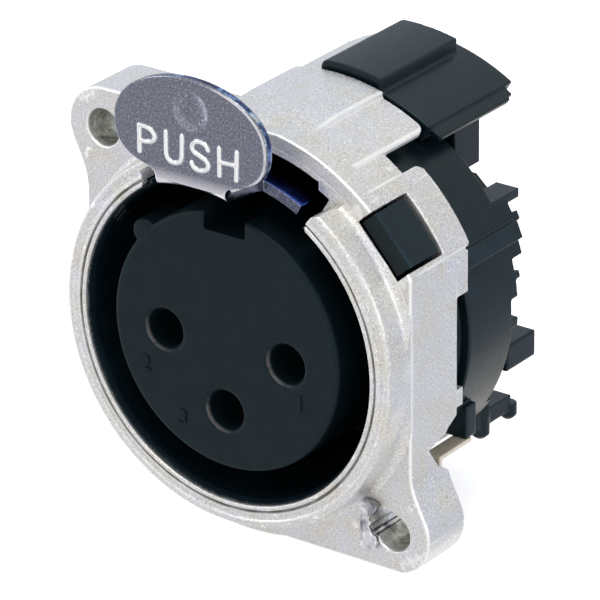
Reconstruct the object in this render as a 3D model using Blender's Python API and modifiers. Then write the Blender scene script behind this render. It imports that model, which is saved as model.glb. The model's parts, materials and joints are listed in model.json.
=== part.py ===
"""Three-pole panel socket with a push-to-release latch.

Frame: origin on the bore axis in the flange's front plane, front towards -Y,
+Z up. All driving dimensions are in millimetres and scaled to metres by MM.
"""
import math

import bmesh
import bpy

MM = 0.001

# ---- driving dimensions (mm) ------------------------------------------------
HOLE_X = 9.9            # ear holes sit at (-HOLE_X, +HOLE_X) and (+HOLE_X, -HOLE_X)
EAR_R = 2.42            # outer radius of an ear
EAR_HOLE_R = 1.12
EAR_DEPTH = 3.6         # ear columns, front to back
FLAT_R = 11.1           # right-hand flat of the flange
FLAT_L = 11.16          # left-hand flat of the flange
FLANGE_R = 12.5         # round part of the flange
Y_RING = -2.13          # front plane of the ring
R_BORE = 9.8            # bright lip of the mouth
R_RING = 11.2           # outer wall of the ring
BODY_DEPTH = 4.6        # shell body behind the flange plane
R_SHELL_IN = 10.65      # inside of the shell body
R_LINER_OUT = 10.0
R_LINER_IN = 9.58
R_BARREL = 11.0         # rear barrel
Y_BARREL0, Y_BARREL1 = 5.95, 10.85
R_INSERT = 7.75         # contact insert
Y_INSERT = -2.1
CONTACTS = {"contact_1": (4.15, -0.3), "contact_2": (-4.25, -0.3), "contact_3": (-0.1, -4.25)}
R_HOLE = 1.18
PIVOT_Y, PIVOT_Z = 7.6, 10.75   # latch pivot axis, along X
LATCH_R0, LATCH_R1 = 9.72, 10.36
TAB_Y, TAB_T = -5.0, 0.5
PIN_LEN_Y = 17.6        # ends of the contact tails

# ---- clean start ------------------------------------------------------------
for ob in list(bpy.data.objects):
    bpy.data.objects.remove(ob, do_unlink=True)

PARTS = bpy.data.collections.new("xlr_panel_socket")
TOOLS = bpy.data.collections.new("cutters")
bpy.context.scene.collection.children.link(PARTS)
bpy.context.scene.collection.children.link(TOOLS)


def material(name, color, rough, metal):
    mat = bpy.data.materials.new(name)
    mat.use_nodes = True
    bsdf = mat.node_tree.nodes["Principled BSDF"]
    bsdf.inputs["Base Color"].default_value = (*color, 1.0)
    bsdf.inputs["Roughness"].default_value = rough
    bsdf.inputs["Metallic"].default_value = metal
    return mat


def add(name, mesh, tool=False):
    ob = bpy.data.objects.new(name, mesh)
    (TOOLS if tool else PARTS).objects.link(ob)
    if tool:
        ob.hide_render = True
        ob.display_type = 'WIRE'
    return ob


def baked(ob, tool=True, name=None):
    """Evaluate an object, weld it, put it in world space and replace it by a plain mesh."""
    bpy.context.view_layer.update()
    dg = bpy.context.evaluated_depsgraph_get()
    mesh = bpy.data.meshes.new_from_object(ob.evaluated_get(dg))
    bm = bmesh.new()
    bm.from_mesh(mesh)
    bmesh.ops.remove_doubles(bm, verts=bm.verts, dist=1e-7)
    bm.transform(ob.matrix_world)
    bmesh.ops.recalc_face_normals(bm, faces=bm.faces)
    if bm.calc_volume(signed=True) < 0:
        bmesh.ops.reverse_faces(bm, faces=bm.faces)
    bm.to_mesh(mesh)
    bm.free()
    name = name or ob.name
    bpy.data.objects.remove(ob, do_unlink=True)
    mesh.name = name
    return add(name, mesh, tool)


# ---- outline helpers (points in the XZ plane, mm) ---------------------------
def pol(r, deg):
    a = math.radians(deg)
    return (r * math.cos(a), r * math.sin(a))


def arc(r, a0, a1, n, cx=0.0, cz=0.0):
    return [(cx + r * math.cos(math.radians(a0 + (a1 - a0) * i / n)),
             cz + r * math.sin(math.radians(a0 + (a1 - a0) * i / n))) for i in range(n + 1)]


def bezier(p0, p1, p2, p3, n):
    out = []
    for i in range(1, n):
        t = i / n
        u = 1 - t
        out.append(tuple(u ** 3 * a + 3 * u * u * t * b + 3 * u * t * t * c + t ** 3 * d
                         for a, b, c, d in zip(p0, p1, p2, p3)))
    return out


def slab(name, pts, y0, y1):
    """A flat outline in the XZ plane, extruded from y0 to y1 along Y."""
    cu = bpy.data.curves.new(name, 'CURVE')
    cu.dimensions = '2D'
    cu.fill_mode = 'BOTH'
    cu.extrude = (y1 - y0) / 2 * MM
    sp = cu.splines.new('POLY')
    sp.points.add(len(pts) - 1)
    for p, (x, z) in zip(sp.points, pts):
        p.co = (x * MM, z * MM, 0.0, 1.0)
    sp.use_cyclic_u = True
    ob = add(name, cu, True)
    ob.rotation_euler = (math.pi / 2, 0.0, 0.0)
    ob.location = (0.0, (y0 + y1) / 2 * MM, 0.0)
    return baked(ob)


def slab_x(name, pts, x0, x1):
    """A flat outline in the YZ plane, extruded from x0 to x1 along X."""
    cu = bpy.data.curves.new(name, 'CURVE')
    cu.dimensions = '2D'
    cu.fill_mode = 'BOTH'
    cu.extrude = (x1 - x0) / 2 * MM
    sp = cu.splines.new('POLY')
    sp.points.add(len(pts) - 1)
    for p, (y, z) in zip(sp.points, pts):
        p.co = (y * MM, z * MM, 0.0, 1.0)
    sp.use_cyclic_u = True
    ob = add(name, cu, True)
    ob.rotation_euler = (math.pi / 2, 0.0, math.pi / 2)
    ob.location = ((x0 + x1) / 2 * MM, 0.0, 0.0)
    return baked(ob)


def slab_z(name, pts, z0, z1):
    """A flat outline in the XY plane, extruded from z0 to z1."""
    cu = bpy.data.curves.new(name, 'CURVE')
    cu.dimensions = '2D'
    cu.fill_mode = 'BOTH'
    cu.extrude = (z1 - z0) / 2 * MM
    sp = cu.splines.new('POLY')
    sp.points.add(len(pts) - 1)
    for p, (x, y) in zip(sp.points, pts):
        p.co = (x * MM, y * MM, 0.0, 1.0)
    sp.use_cyclic_u = True
    ob = add(name, cu, True)
    ob.location = (0.0, 0.0, (z0 + z1) / 2 * MM)
    return baked(ob)


def sector(name, a0, a1, r0, r1, y0, y1, n=8):
    return slab(name, arc(r1, a0, a1, n) + arc(r0, a1, a0, n), y0, y1)


def block(name, x0, x1, y0, y1, z0, z1, chamfer=0.0, spin=0.0):
    """A box between two corners; spin turns it about the bore axis (degrees)."""
    bpy.ops.mesh.primitive_cube_add(size=1.0)
    ob = bpy.context.object
    ob.name = name
    for c in list(ob.users_collection):
        c.objects.unlink(ob)
    TOOLS.objects.link(ob)
    bm = bmesh.new()
    bm.from_mesh(ob.data)
    for v in bm.verts:
        v.co = ((x0 + x1) / 2 * MM + v.co.x * (x1 - x0) * MM,
                (y0 + y1) / 2 * MM + v.co.y * (y1 - y0) * MM,
                (z0 + z1) / 2 * MM + v.co.z * (z1 - z0) * MM)
    bm.to_mesh(ob.data)
    bm.free()
    if chamfer:
        m = ob.modifiers.new("edge", 'BEVEL')
        m.width = chamfer * MM
        m.segments = 1
        m.limit_method = 'ANGLE'
    ob.rotation_euler = (0.0, -math.radians(spin), 0.0)
    return baked(ob, True, name)


def turned(name, profile, steps, cx=0.0, cz=0.0, closed=False, tool=True):
    """A turned shape about an axis along Y. profile is (r, y) in mm, from the
    front down the outer side to the back; closed joins its last point to the first."""
    bm = bmesh.new()
    vs = [bm.verts.new((r * MM, 0.0, -y * MM)) for r, y in profile]
    for a, b in zip(vs, vs[1:]):
        bm.edges.new((a, b))
    if closed:
        bm.edges.new((vs[-1], vs[0]))
    mesh = bpy.data.meshes.new(name)
    bm.to_mesh(mesh)
    bm.free()
    ob = add(name, mesh, True)
    m = ob.modifiers.new("turn", 'SCREW')
    m.axis = 'Z'
    m.angle = 2 * math.pi
    m.steps = steps
    m.render_steps = steps
    m.use_merge_vertices = True
    m.merge_threshold = 1e-7
    ob.rotation_euler = (math.pi / 2, 0.0, 0.0)
    ob.location = (cx * MM, 0.0, cz * MM)
    return baked(ob, tool, name)


def rod_x(name, y, z, r, x0, x1, n=20):
    return slab_x(name, arc(r, 0, 360 - 360 / n, n - 1, y, z), x0, x1)


def rod_z(name, x, y, r, z0, z1, n=16, dome=0.0):
    bpy.ops.mesh.primitive_cylinder_add(vertices=n, radius=r * MM, depth=(z1 - z0) * MM,
                                        location=(x * MM, y * MM, (z0 + z1) / 2 * MM))
    ob = bpy.context.object
    ob.name = name
    for c in list(ob.users_collection):
        c.objects.unlink(ob)
    TOOLS.objects.link(ob)
    if dome:
        m = ob.modifiers.new("dome", 'BEVEL')
        m.width = dome * MM
        m.segments = 3
        m.limit_method = 'ANGLE'
    return baked(ob, True, name)


def combine(base, joins=(), cuts=(), keep=(), within=()):
    """Intersection, union, difference, union with the exact solver; welded after each step."""
    name = base.name
    for op, obs in (('INTERSECT', within), ('UNION', joins), ('DIFFERENCE', cuts), ('UNION', keep)):
        for ob in obs:
            m = base.modifiers.new(ob.name, 'BOOLEAN')
            m.operation = op
            m.solver = 'EXACT'
            m.object = ob
            base = baked(base, True, name)
    return base


def finish(base, name, mat, smooth=35.0):
    """Turn a tool with its modifiers into a finished part."""
    bpy.context.view_layer.update()
    dg = bpy.context.evaluated_depsgraph_get()
    mesh = bpy.data.meshes.new_from_object(base.evaluated_get(dg))
    bm = bmesh.new()
    bm.from_mesh(mesh)
    bm.transform(base.matrix_world)
    bmesh.ops.remove_doubles(bm, verts=bm.verts, dist=2e-7)
    bmesh.ops.dissolve_degenerate(bm, edges=bm.edges, dist=1e-7)
    bm.to_mesh(mesh)
    bm.free()
    mesh.name = name
    mesh.materials.clear()
    mesh.materials.append(mat)
    mesh.shade_smooth()
    mesh.set_sharp_from_angle(angle=math.radians(smooth))
    base.name = name + "_base"
    ob = add(name, mesh)
    ob.name = name
    return ob


NICKEL = material("cast_nickel", (0.72, 0.71, 0.68), 0.38, 1.0)
CHROME = material("latch_chrome", (0.62, 0.62, 0.64), 0.15, 1.0)
BLACK = material("insert_black", (0.03, 0.033, 0.035), 0.45, 0.0)
BLACK2 = material("rear_black", (0.045, 0.05, 0.055), 0.4, 0.0)
TAN = material("strip_tin", (0.55, 0.5, 0.4), 0.35, 1.0)
SPRING = material("spring_steel", (0.6, 0.6, 0.62), 0.25, 1.0)
GOLD = material("contact_silver", (0.8, 0.78, 0.72), 0.25, 1.0)


# ---- shell ------------------------------------------------------------------
def flange_outline():
    """Right flat, round top, upper-left ear, left flat, round bottom, lower-right ear."""
    a_flat = math.degrees(math.acos(FLAT_R / FLANGE_R))
    a_line = math.degrees(math.asin(12.32 / FLANGE_R))
    a_bot = math.degrees(math.asin(12.25 / FLANGE_R))
    b_flat = math.degrees(math.acos(FLAT_L / FLANGE_R))
    ear_end = 203.0
    pts = arc(FLANGE_R, a_flat, a_line, 14)
    pts += arc(EAR_R, 90.0, ear_end, 14, -HOLE_X, HOLE_X)
    e = pts[-1]
    pts += bezier(e, (e[0] + 0.35, e[1] - 0.85), (-FLAT_L - 0.02, 7.2), (-FLAT_L, 6.1), 7)
    pts += [(-FLAT_L, 6.1)]
    pts += arc(FLANGE_R, 180 + b_flat, 360 - a_bot - 0.001, 12)
    low = [(HOLE_X + EAR_R * math.cos(math.radians(a)), -HOLE_X + EAR_R * math.sin(math.radians(a)))
           for a in [-76 + (ear_end - 180 + 76) * i / 14 for i in range(15)]]
    pts += [(HOLE_X + 0.2, -12.25)] + low
    e = low[-1]
    pts += bezier(e, (e[0] - 0.35, e[1] + 0.85), (FLAT_R + 0.02, -7.2), (FLAT_R, -6.1), 7)
    pts += [(FLAT_R, -6.1)]
    return pts


def body_outline(r, fr, fl):
    a = math.degrees(math.acos(fr / r))
    b = math.degrees(math.acos(fl / r))
    return arc(r, a, 180 - b, 28) + arc(r, 180 + b, 360 - a, 28)


flange = slab("flange_slab", flange_outline(), 0.0, EAR_DEPTH)
ear_tail = combine(slab("ear_tail", flange_outline(), EAR_DEPTH - 0.3, EAR_DEPTH + 0.5),
                   within=[block("ear_tail_room", -13.0, -6.2, 3.0, 4.5, 6.0, 13.0)])
body = slab("body_slab", body_outline(12.25, FLAT_R - 0.02, FLAT_L - 0.02), 1.2, BODY_DEPTH)
ring = turned("ring_turned", [
    (9.0, Y_RING), (10.30, Y_RING), (10.36, Y_RING + 0.05), (10.40, Y_RING + 0.19), (10.60, Y_RING + 0.19),
    (10.72, Y_RING + 0.12), (10.85, Y_RING + 0.18), (10.97, Y_RING + 0.28), (11.1, Y_RING + 0.48), (R_RING, Y_RING + 0.8),
    (R_RING, -0.45), (R_RING + 0.1, -0.2), (R_RING + 0.35, 0.02), (R_RING + 0.35, 0.6), (9.0, 0.6)], 96, closed=True)
ring_trim_r = block("ring_trim_r", FLAT_R + 0.04, 13.0, -3.0, 1.0, -13.0, 13.0)
ring_trim_l = block("ring_trim_l", -13.0, -FLAT_L - 0.04, -1.2, 1.0, -13.0, 13.0)

frame = sector("frame_sector", 27.8, 52.5, 10.0, 12.47, 1.0, 6.0, 8)
tongue = block("tongue_block", 9.9, FLAT_R - 0.05, 3.0, 5.7, 3.1, 5.6)
side_tab = block("side_tab_block", 10.0, FLAT_R - 0.1, 3.0, 5.3, -3.7, -2.6)
level_2 = sector("level_2_sector", 59.5, 76.0, 10.9, 12.49, 1.5, 8.35, 6)
level_2_under = sector("level_2_under", 50.0, 74.6, 10.0, 12.12, BODY_DEPTH + 0.02, 9.0, 10)
level_1_plan = slab("level_1_plan", [(3.44, 10.6)] + arc(13.4, 75.1, 101.2, 8) + [(-2.6, 10.6)], 0.8, 9.0)
level_1 = combine(turned("level_1_turned", [
    (10.3, 1.0), (12.34, 1.0), (12.52, 1.7), (12.7, 2.6), (12.8, 3.8), (12.8, 8.4), (10.3, 8.4)], 192, closed=True),
    within=[level_1_plan])
spine = slab("spine_slab", [(-1.08, 11.68)] + arc(12.6, 94.95, 101.85, 5) + [(-2.6, 11.68)], 8.1, 15.4)
spine_corner = slab_z("spine_corner", [(-2.62, 13.3), (-2.45, 14.1), (-2.05, 14.9), (-1.6, 15.5), (-4.0, 15.5), (-4.0, 13.3)], 11.0, 13.5)
spine = combine(spine, cuts=[spine_corner])

# inside of the shell: lip, counterbore for the liner, and the main bore
bore = turned("bore_tool", [
    (0.0, -4.0), (R_BORE + 0.08, -4.0), (R_BORE + 0.08, Y_RING + 0.0), (R_BORE, Y_RING + 0.08), (R_BORE, -1.72),
    (R_LINER_OUT + 0.1, -1.72), (R_LINER_OUT + 0.1, 0.5), (R_SHELL_IN, 0.5), (R_SHELL_IN, 5.75),
    (R_BARREL + 0.1, 5.75), (R_BARREL + 0.1, 9.9), (0.0, 9.9)], 96)
# the latch slot through the ring and the flange, and the latch tunnel in the boss
ring_gap = slab("ring_gap", [pol(8.0, 57.0), pol(14.0, 57.0), pol(19.0, 90.0), pol(14.0, 123.0), pol(8.0, 123.0)], -3.5, 0.0)
slot_lo = sector("slot_lo", 58.4, 121.6, 8.5, 10.95, -0.2, 3.6, 16)
slot_hi = slab("slot_hi", [pol(8.6, 56)] + [(5.02, 8.0)] + [(5.02, 10.23)] + arc(11.36, 64.2, 115.8, 14)[1:-1]
               + [(-5.02, 10.23)] + [(-5.02, 8.0)] + [pol(8.6, 124)], -0.3, 3.6)
tunnel = block("latch_tunnel", -2.35, 2.75, 0.0, 9.0, 8.5, 11.95)
rear_open = block("rear_open", -1.1, 2.9, 8.0, 9.2, 10.0, 12.1)
hole_u = turned("hole_u", [(0.0, -1.0), (EAR_HOLE_R + 0.32, -1.0), (EAR_HOLE_R + 0.1, -0.02), (EAR_HOLE_R, 0.12),
                           (EAR_HOLE_R, 5.0), (0.0, 5.0)], 32, -HOLE_X, HOLE_X)
hole_l = turned("hole_l", [(0.0, -1.0), (EAR_HOLE_R + 0.32, -1.0), (EAR_HOLE_R + 0.1, -0.02), (EAR_HOLE_R, 0.12),
                           (EAR_HOLE_R, 5.0), (0.0, 5.0)], 32, HOLE_X, -HOLE_X)


def turn_snap(ob):
    """Turn a tool built upright at the top of the bore to the snap window at 42 degrees."""
    ob.rotation_euler = (0.0, math.radians(48.0), 0.0)
    return baked(ob)


window = turn_snap(slab_x("window_cut", [(-0.7, 11.42), (-0.05, 11.42), (0.05, 11.2), (0.05, 9.0), (3.55, 9.0), (3.55, 14.0),
                                         (-0.7, 14.0)], -1.2, 2.72))
prong_slot = block("prong_slot", 8.2, 8.85, -1.0, 5.0, -10.8, -8.6)
prong_room = block("prong_room", 8.2, 10.15, -1.0, 5.0, -9.9, -8.6)

strip_notch = slab_x("strip_notch", [(3.66, -4.6), (4.9, -3.9), (4.9, -13.0), (3.66, -13.0)], 5.0, 13.0)
strip_gap = combine(slab_x("strip_gap", [(1.84, -5.19), (3.8, -4.66), (3.8, -7.15), (2.75, -6.5)], 9.0, 13.0),
                    within=[slab("strip_gap_plan", [(9.95, -4.4), (13.4, -4.4), (13.4, -7.0), (9.35, -7.0), (9.35, -5.6)], 1.0, 4.5)])
rim_step = sector("rim_step", 26.5, 59.5, 12.36, 13.4, 1.45, 8.8)

bumps = []
for k, (sx, hx, hz) in enumerate(((-1, -HOLE_X, HOLE_X), (1, HOLE_X, -HOLE_X))):
    for j, (dx, dz) in enumerate(((1.0, -1.65), (0.9, 1.65), (-2.3, 0.0))):
        bumps.append(turned(f"bump_{k}{j}", [(0.0, -0.13), (0.1, -0.12), (0.21, -0.05), (0.26, 0.3), (0.0, 0.3)],
                            12, hx + sx * dx, hz + sx * dz * -1 if k else hz + dz * 1.0))

ring = combine(ring, cuts=[ring_trim_r, ring_trim_l, ring_gap])
level_2 = combine(level_2, cuts=[level_2_under])
shell = combine(flange, joins=[ear_tail, body, ring, frame, tongue, side_tab, level_2, level_1],
                cuts=[bore, slot_lo, slot_hi, tunnel, rear_open, hole_u, hole_l, window, prong_slot, prong_room, strip_notch, strip_gap, rim_step],
                keep=[spine] + bumps)
finish(shell, "shell", NICKEL)

# ---- black housing: liner, barrel, snap tab, rib, toothed rear edge ----------
hous = turned("housing_turned", [
    (R_LINER_IN, -1.66), (R_LINER_OUT, -1.66), (R_LINER_OUT, 0.62), (R_SHELL_IN - 0.06, 0.62),
    (R_SHELL_IN - 0.06, 5.4), (10.3, 5.4), (10.3, Y_BARREL0), (R_BARREL - 0.1, Y_BARREL0),
    (R_BARREL, Y_BARREL0 + 0.1), (R_BARREL, Y_BARREL1), (7.1, Y_BARREL1), (7.1, 9.7), (R_LINER_IN, 9.7)], 96, closed=True)
snap = turn_snap(slab_x("snap_block", [(0.1, 9.8), (0.1, 11.5), (0.18, 11.85), (0.4, 12.1), (0.6, 12.2), (3.2, 12.28), (3.38, 12.2),
                                       (3.45, 11.95), (3.45, 9.8)], -1.04, 2.5))
rib = block("rib_block", 10.5, 11.35, 6.3, 11.85, -0.44, 0.62, 0.0, 23.0)


def tooth(name, a0, a1, y1, r1=R_BARREL):
    return sector(name, a0, a1, 9.9, r1, 10.6, y1, 3)


teeth = [block("tooth_a", 7.75, 9.3, 10.6, 13.35, 5.62, 6.2), tooth("tooth_a2", 28.0, 32.6, 12.15), tooth("tooth_b", 25.4, 28.3, 12.6), tooth("tooth_b2", 21.8, 25.6, 12.1),
         tooth("tooth_c", 16.0, 20.2, 11.85), tooth("tooth_d", 9.6, 12.0, 11.25)]
rim_notch = sector("rim_notch", -2.0, 4.5, 9.0, 12.0, 10.2, 11.6, 3)
rim_low = sector("rim_low", -33.0, -5.0, 9.0, 12.0, 10.25, 11.6, 12)
latch_way = block("latch_way", -2.55, 2.85, -2.5, 9.2, 8.6, 12.0)
latch_way_wide = sector("latch_way_wide", 57.6, 122.4, 9.0, 10.75, -2.5, 3.3, 12)
corner = block("corner_block", 8.75, 10.5, 6.4, 7.4, -6.48, -4.5)
strip_way = block("strip_way", 9.4, 10.45, 6.55, 7.05, -7.0, -5.1)
corner = combine(corner, cuts=[strip_way])
housing = combine(hous, joins=[snap, rib, corner] + teeth, cuts=[latch_way, latch_way_wide, rim_notch, rim_low])
finish(housing, "housing", BLACK2)

# ---- contact insert -----------------------------------------------------------
ins = turned("insert_turned", [
    (0.0, Y_INSERT), (R_INSERT - 0.22, Y_INSERT), (R_INSERT - 0.06, Y_INSERT + 0.08), (R_INSERT, Y_INSERT + 0.26),
    (R_INSERT, 8.2), (9.3, 8.2), (9.3, 9.6), (6.95, 9.6), (6.95, 11.3), (0.0, 11.3)], 56)
keyway = slab("keyway_cut", [(-1.3, 9.0), (-1.35, 6.6), (1.45, 6.6), (1.4, 9.0)], -3.0, 5.5)
lobe = turned("lobe", [(0.0, Y_INSERT + 0.02), (0.62, Y_INSERT + 0.02), (0.78, Y_INSERT + 0.18), (0.8, 0.6), (0.0, 0.6)],
              14, -5.62, 5.3)
cuts = [keyway]
for nm, (cx, cz) in CONTACTS.items():
    cuts.append(turned("bore_" + nm, [
        (0.0, -3.0), (R_HOLE + 0.24, -3.0), (R_HOLE + 0.24, Y_INSERT), (R_HOLE, Y_INSERT + 0.3),
        (R_HOLE, 8.6), (0.56, 8.6), (0.56, 12.0), (0.0, 12.0)], 24, cx, cz))
insert = combine(ins, joins=[lobe], cuts=cuts)
finish(insert, "contact_insert", BLACK)

# ---- contacts -----------------------------------------------------------------
for nm, (cx, cz) in CONTACTS.items():
    c = turned("sleeve_" + nm, [
        (0.0, 0.5), (1.0, 0.5), (1.08, 0.7), (1.08, 8.5), (0.46, 8.5), (0.46, PIN_LEN_Y - 0.4),
        (0.26, PIN_LEN_Y), (0.0, PIN_LEN_Y)], 20, cx, cz)
    socket = turned("socket_" + nm, [(0.0, -1.0), (0.9, -1.0), (0.9, 0.5), (0.78, 0.8), (0.78, 5.8), (0.0, 6.2)], 20, cx, cz)
    slit = block("slit_" + nm, cx - 0.12, cx + 0.12, -1.0, 4.4, cz - 2.0, cz + 2.0)
    c = combine(c, cuts=[socket, slit])
    finish(c, nm, GOLD)

# ---- latch --------------------------------------------------------------------
def tab_outline():
    """Oval thumb tab, squarer below, and the top of the neck under it."""
    pts = []
    for i in range(40):
        a = math.radians(-56.0 + (236.0 + 56.0) * i / 39)
        c, s = math.cos(a), math.sin(a)
        n, h = (2.0, 3.17) if s > 0 else (2.9, 2.78)
        pts.append((5.19 * math.copysign(abs(c) ** (2 / n), c), 13.6 + h * math.copysign(abs(s) ** (2 / n), s)))
    return pts + [(-2.66, 10.94), (-2.44, 10.5), (-2.3, 10.42), (2.2, 10.42), (2.3, 10.5), (2.52, 10.92)]


tab = slab("tab_slab", tab_outline(), TAB_Y, TAB_Y + TAB_T)
# the neck and shelf are one bent sheet about the bore's axis, trimmed to the neck's width
neck_width = block("neck_width", -2.42, 2.28, -5.3, -1.0, 9.0, 11.2)
neck = combine(turned("neck_sheet", [
    (11.4, -4.99), (10.8, -4.99), (10.46, -4.9), (10.24, -4.63), (10.16, -4.1), (9.74, -1.2), (10.3, -1.2), (10.68, -4.1),
    (10.76, -4.4), (10.9, -4.48), (11.4, -4.48)], 192, closed=True), within=[neck_width])
plate = sector("plate_sector", 90 - 27.6, 90 + 27.6, LATCH_R0, LATCH_R1, -1.4, 2.7, 18)
arm = block("arm_block", -2.0, 2.2, 2.0, PIVOT_Y - 0.2, 9.95, 10.55)
hook = slab_x("hook_slab", [(4.4, 10.2), (4.4, 9.25), (4.9, 8.95), (5.6, 9.3), (6.3, 10.2)], -1.5, 1.5)
knuckle = rod_x("knuckle_rod", PIVOT_Y, PIVOT_Z, 0.78, -2.1, 2.35)
pin_way = rod_x("pin_way", PIVOT_Y, PIVOT_Z, 0.47, -4.0, 4.0, 16)
latch = combine(tab, joins=[neck, plate, arm, hook, knuckle], cuts=[pin_way])
finish(latch, "latch_lever", CHROME)

pin = rod_x("pin_rod", PIVOT_Y, PIVOT_Z, 0.4, -2.3, 2.6, 16)
finish(pin, "latch_pin", SPRING)

# leaf spring above the lever's arm, held at the rear under the cover
leaf = slab_x("leaf_slab", [(1.2, 11.0), (1.5, 10.82), (2.2, 10.74), (3.4, 10.98), (4.8, 11.43), (6.0, 11.74), (8.05, 11.8),
                            (8.05, 11.62), (6.05, 11.56), (4.88, 11.26), (3.45, 10.81), (2.2, 10.57), (1.42, 10.66),
                            (1.08, 10.86)], -1.0, 1.4)
finish(leaf, "latch_spring", SPRING)

# ---- rear cover: raised pad, wing with its lip, web down behind the barrel ------
pad_pts = arc(13.25, 76.6, 93.0, 8) + [(-0.92, 13.1), (-1.0, 12.8), (-1.0, 11.3), (3.08, 11.3)]
cover = slab("pad_slab", pad_pts, 8.65, 16.3)
wing = slab("wing_slab", arc(12.47, 59.4, 80.0, 8) + arc(11.28, 80.0, 59.4, 8), 8.75, 17.1)
lip = slab("lip_slab", arc(12.33, 56.6, 60.4, 3) + arc(11.92, 60.4, 56.6, 3), 9.0, 16.45)
lip_low = slab("lip_low_slab", arc(12.33, 55.6, 57.0, 3) + arc(11.92, 57.0, 55.6, 3), 9.0, 16.0)
web = slab("web_slab", [(6.3, 6.9), (6.3, 9.7), (5.2, 10.75), (-0.64, 11.6), (-0.64, 10.0), (-6.0, 10.0), (-6.0, 6.9)], 11.3, 13.8)
cover_ob = combine(cover, joins=[wing, lip, lip_low, web])
finish(cover_ob, "rear_cover", BLACK2)

# ---- pin guide: rear plate with wedge and two locating posts ----------------------
guide_pts = arc(9.2, -140.0, -40.0, 14) + [(8.2, -3.0), (8.2, 4.8), (6.4, 6.4), (-6.4, 6.4), (-8.2, 4.8), (-8.2, -3.0)]
guide = slab("guide_slab", guide_pts, 11.45, 13.4)
wedge = slab_x("wedge_slab", [(11.6, -2.9), (14.5, -2.9), (14.5, -4.5), (11.6, -4.5)], 7.0, 9.75)
post_beam = block("post_beam", 6.3, 7.62, 11.7, 15.25, -8.95, -7.9)
post_arm = block("post_arm", 3.9, 7.5, 11.55, 13.2, -8.9, -5.4)
post_1 = rod_z("post_1", 7.25, 12.6, 0.56, -9.75, -8.1, 16, 0.3)
post_2 = rod_z("post_2", 7.28, 15.45, 0.52, -9.62, -8.5, 16, 0.25)
g_cuts = []
for nm, (cx, cz) in CONTACTS.items():
    g_cuts.append(turned("guide_" + nm, [(0.0, 10.0), (0.56, 10.0), (0.56, 15.0), (0.0, 15.0)], 16, cx, cz))
guide_ob = combine(guide, joins=[wedge, post_beam, post_arm, post_1, post_2], cuts=g_cuts)
finish(guide_ob, "pin_guide", BLACK2)

# ---- ground strip ------------------------------------------------------------------
strip = block("strip_run", 9.47, 10.5, 3.72, 6.93, -6.78, -6.52)
hook_up = block("strip_hook", 9.55, 10.3, 6.65, 6.9, -6.7, -5.4)
leg = block("strip_leg", 9.5, 10.47, 3.75, 4.04, -8.4, -6.55)
jog = block("strip_jog", 7.97, 10.44, 3.77, 4.02, -8.5, -7.7)
drop = block("strip_drop", 7.95, 8.68, 3.74, 4.05, -10.65, -8.4)
web_f = block("strip_web", 8.28, 8.62, -0.4, 3.9, -10.6, -8.7)
bar = block("strip_bar", 7.95, 8.4, -0.45, -0.06, -11.2, -8.2)
tooth_t = slab("strip_tooth_t", [(8.3, -9.3), (8.3, -8.25), (9.05, -8.15), (8.55, -9.15)], -0.43, -0.08)
tooth_b = slab("strip_tooth_b", [(8.3, -11.12), (9.0, -11.1), (9.1, -10.35), (8.3, -10.45)], -0.44, -0.07)
strip_ob = combine(strip, joins=[hook_up, leg, jog, drop, web_f, bar, tooth_t, tooth_b])
finish(strip_ob, "ground_strip", TAN)

# ---- ground spring finger at the mouth's left wall -----------------------------------
finger = slab_x("finger_slab", [(-1.55, 9.42), (-1.2, 9.24), (0.6, 9.2), (3.4, 9.46), (3.4, 9.54), (0.6, 9.3), (-1.2, 9.34), (-1.5, 9.5)],
                -0.55, 0.55)
finger.rotation_euler = (0.0, -math.radians(143.0 - 90.0), 0.0)
finger = baked(finger, True, "finger_turned")
finish(finger, "bore_ground_spring", SPRING)

# the tools stay in their own collection, hidden from renders
for ob in list(TOOLS.objects):
    ob.hide_render = True
    ob.display_type = 'WIRE'
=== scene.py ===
"""Looks for the panel socket: refined pieces, materials, camera and studio."""
import json
import math

import bmesh
import bpy
import numpy as np
from mathutils import Matrix, Vector

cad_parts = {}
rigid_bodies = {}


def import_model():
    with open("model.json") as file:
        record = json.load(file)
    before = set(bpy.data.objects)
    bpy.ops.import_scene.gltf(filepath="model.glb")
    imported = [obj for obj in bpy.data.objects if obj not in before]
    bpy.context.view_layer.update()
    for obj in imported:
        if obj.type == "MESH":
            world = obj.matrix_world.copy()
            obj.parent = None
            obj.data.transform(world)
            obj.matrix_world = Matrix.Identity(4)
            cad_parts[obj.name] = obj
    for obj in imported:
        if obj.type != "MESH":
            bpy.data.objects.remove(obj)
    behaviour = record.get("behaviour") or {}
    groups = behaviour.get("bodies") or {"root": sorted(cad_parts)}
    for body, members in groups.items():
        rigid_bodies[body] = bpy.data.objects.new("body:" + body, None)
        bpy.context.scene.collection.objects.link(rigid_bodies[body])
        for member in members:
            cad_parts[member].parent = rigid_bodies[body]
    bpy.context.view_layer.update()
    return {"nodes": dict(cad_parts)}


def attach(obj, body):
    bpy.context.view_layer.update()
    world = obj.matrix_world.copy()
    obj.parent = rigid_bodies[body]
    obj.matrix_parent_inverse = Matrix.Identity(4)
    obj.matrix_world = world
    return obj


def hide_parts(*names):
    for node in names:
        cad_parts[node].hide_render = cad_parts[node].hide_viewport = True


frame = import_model()
NODES = frame["nodes"]

MM = 0.001

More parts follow.
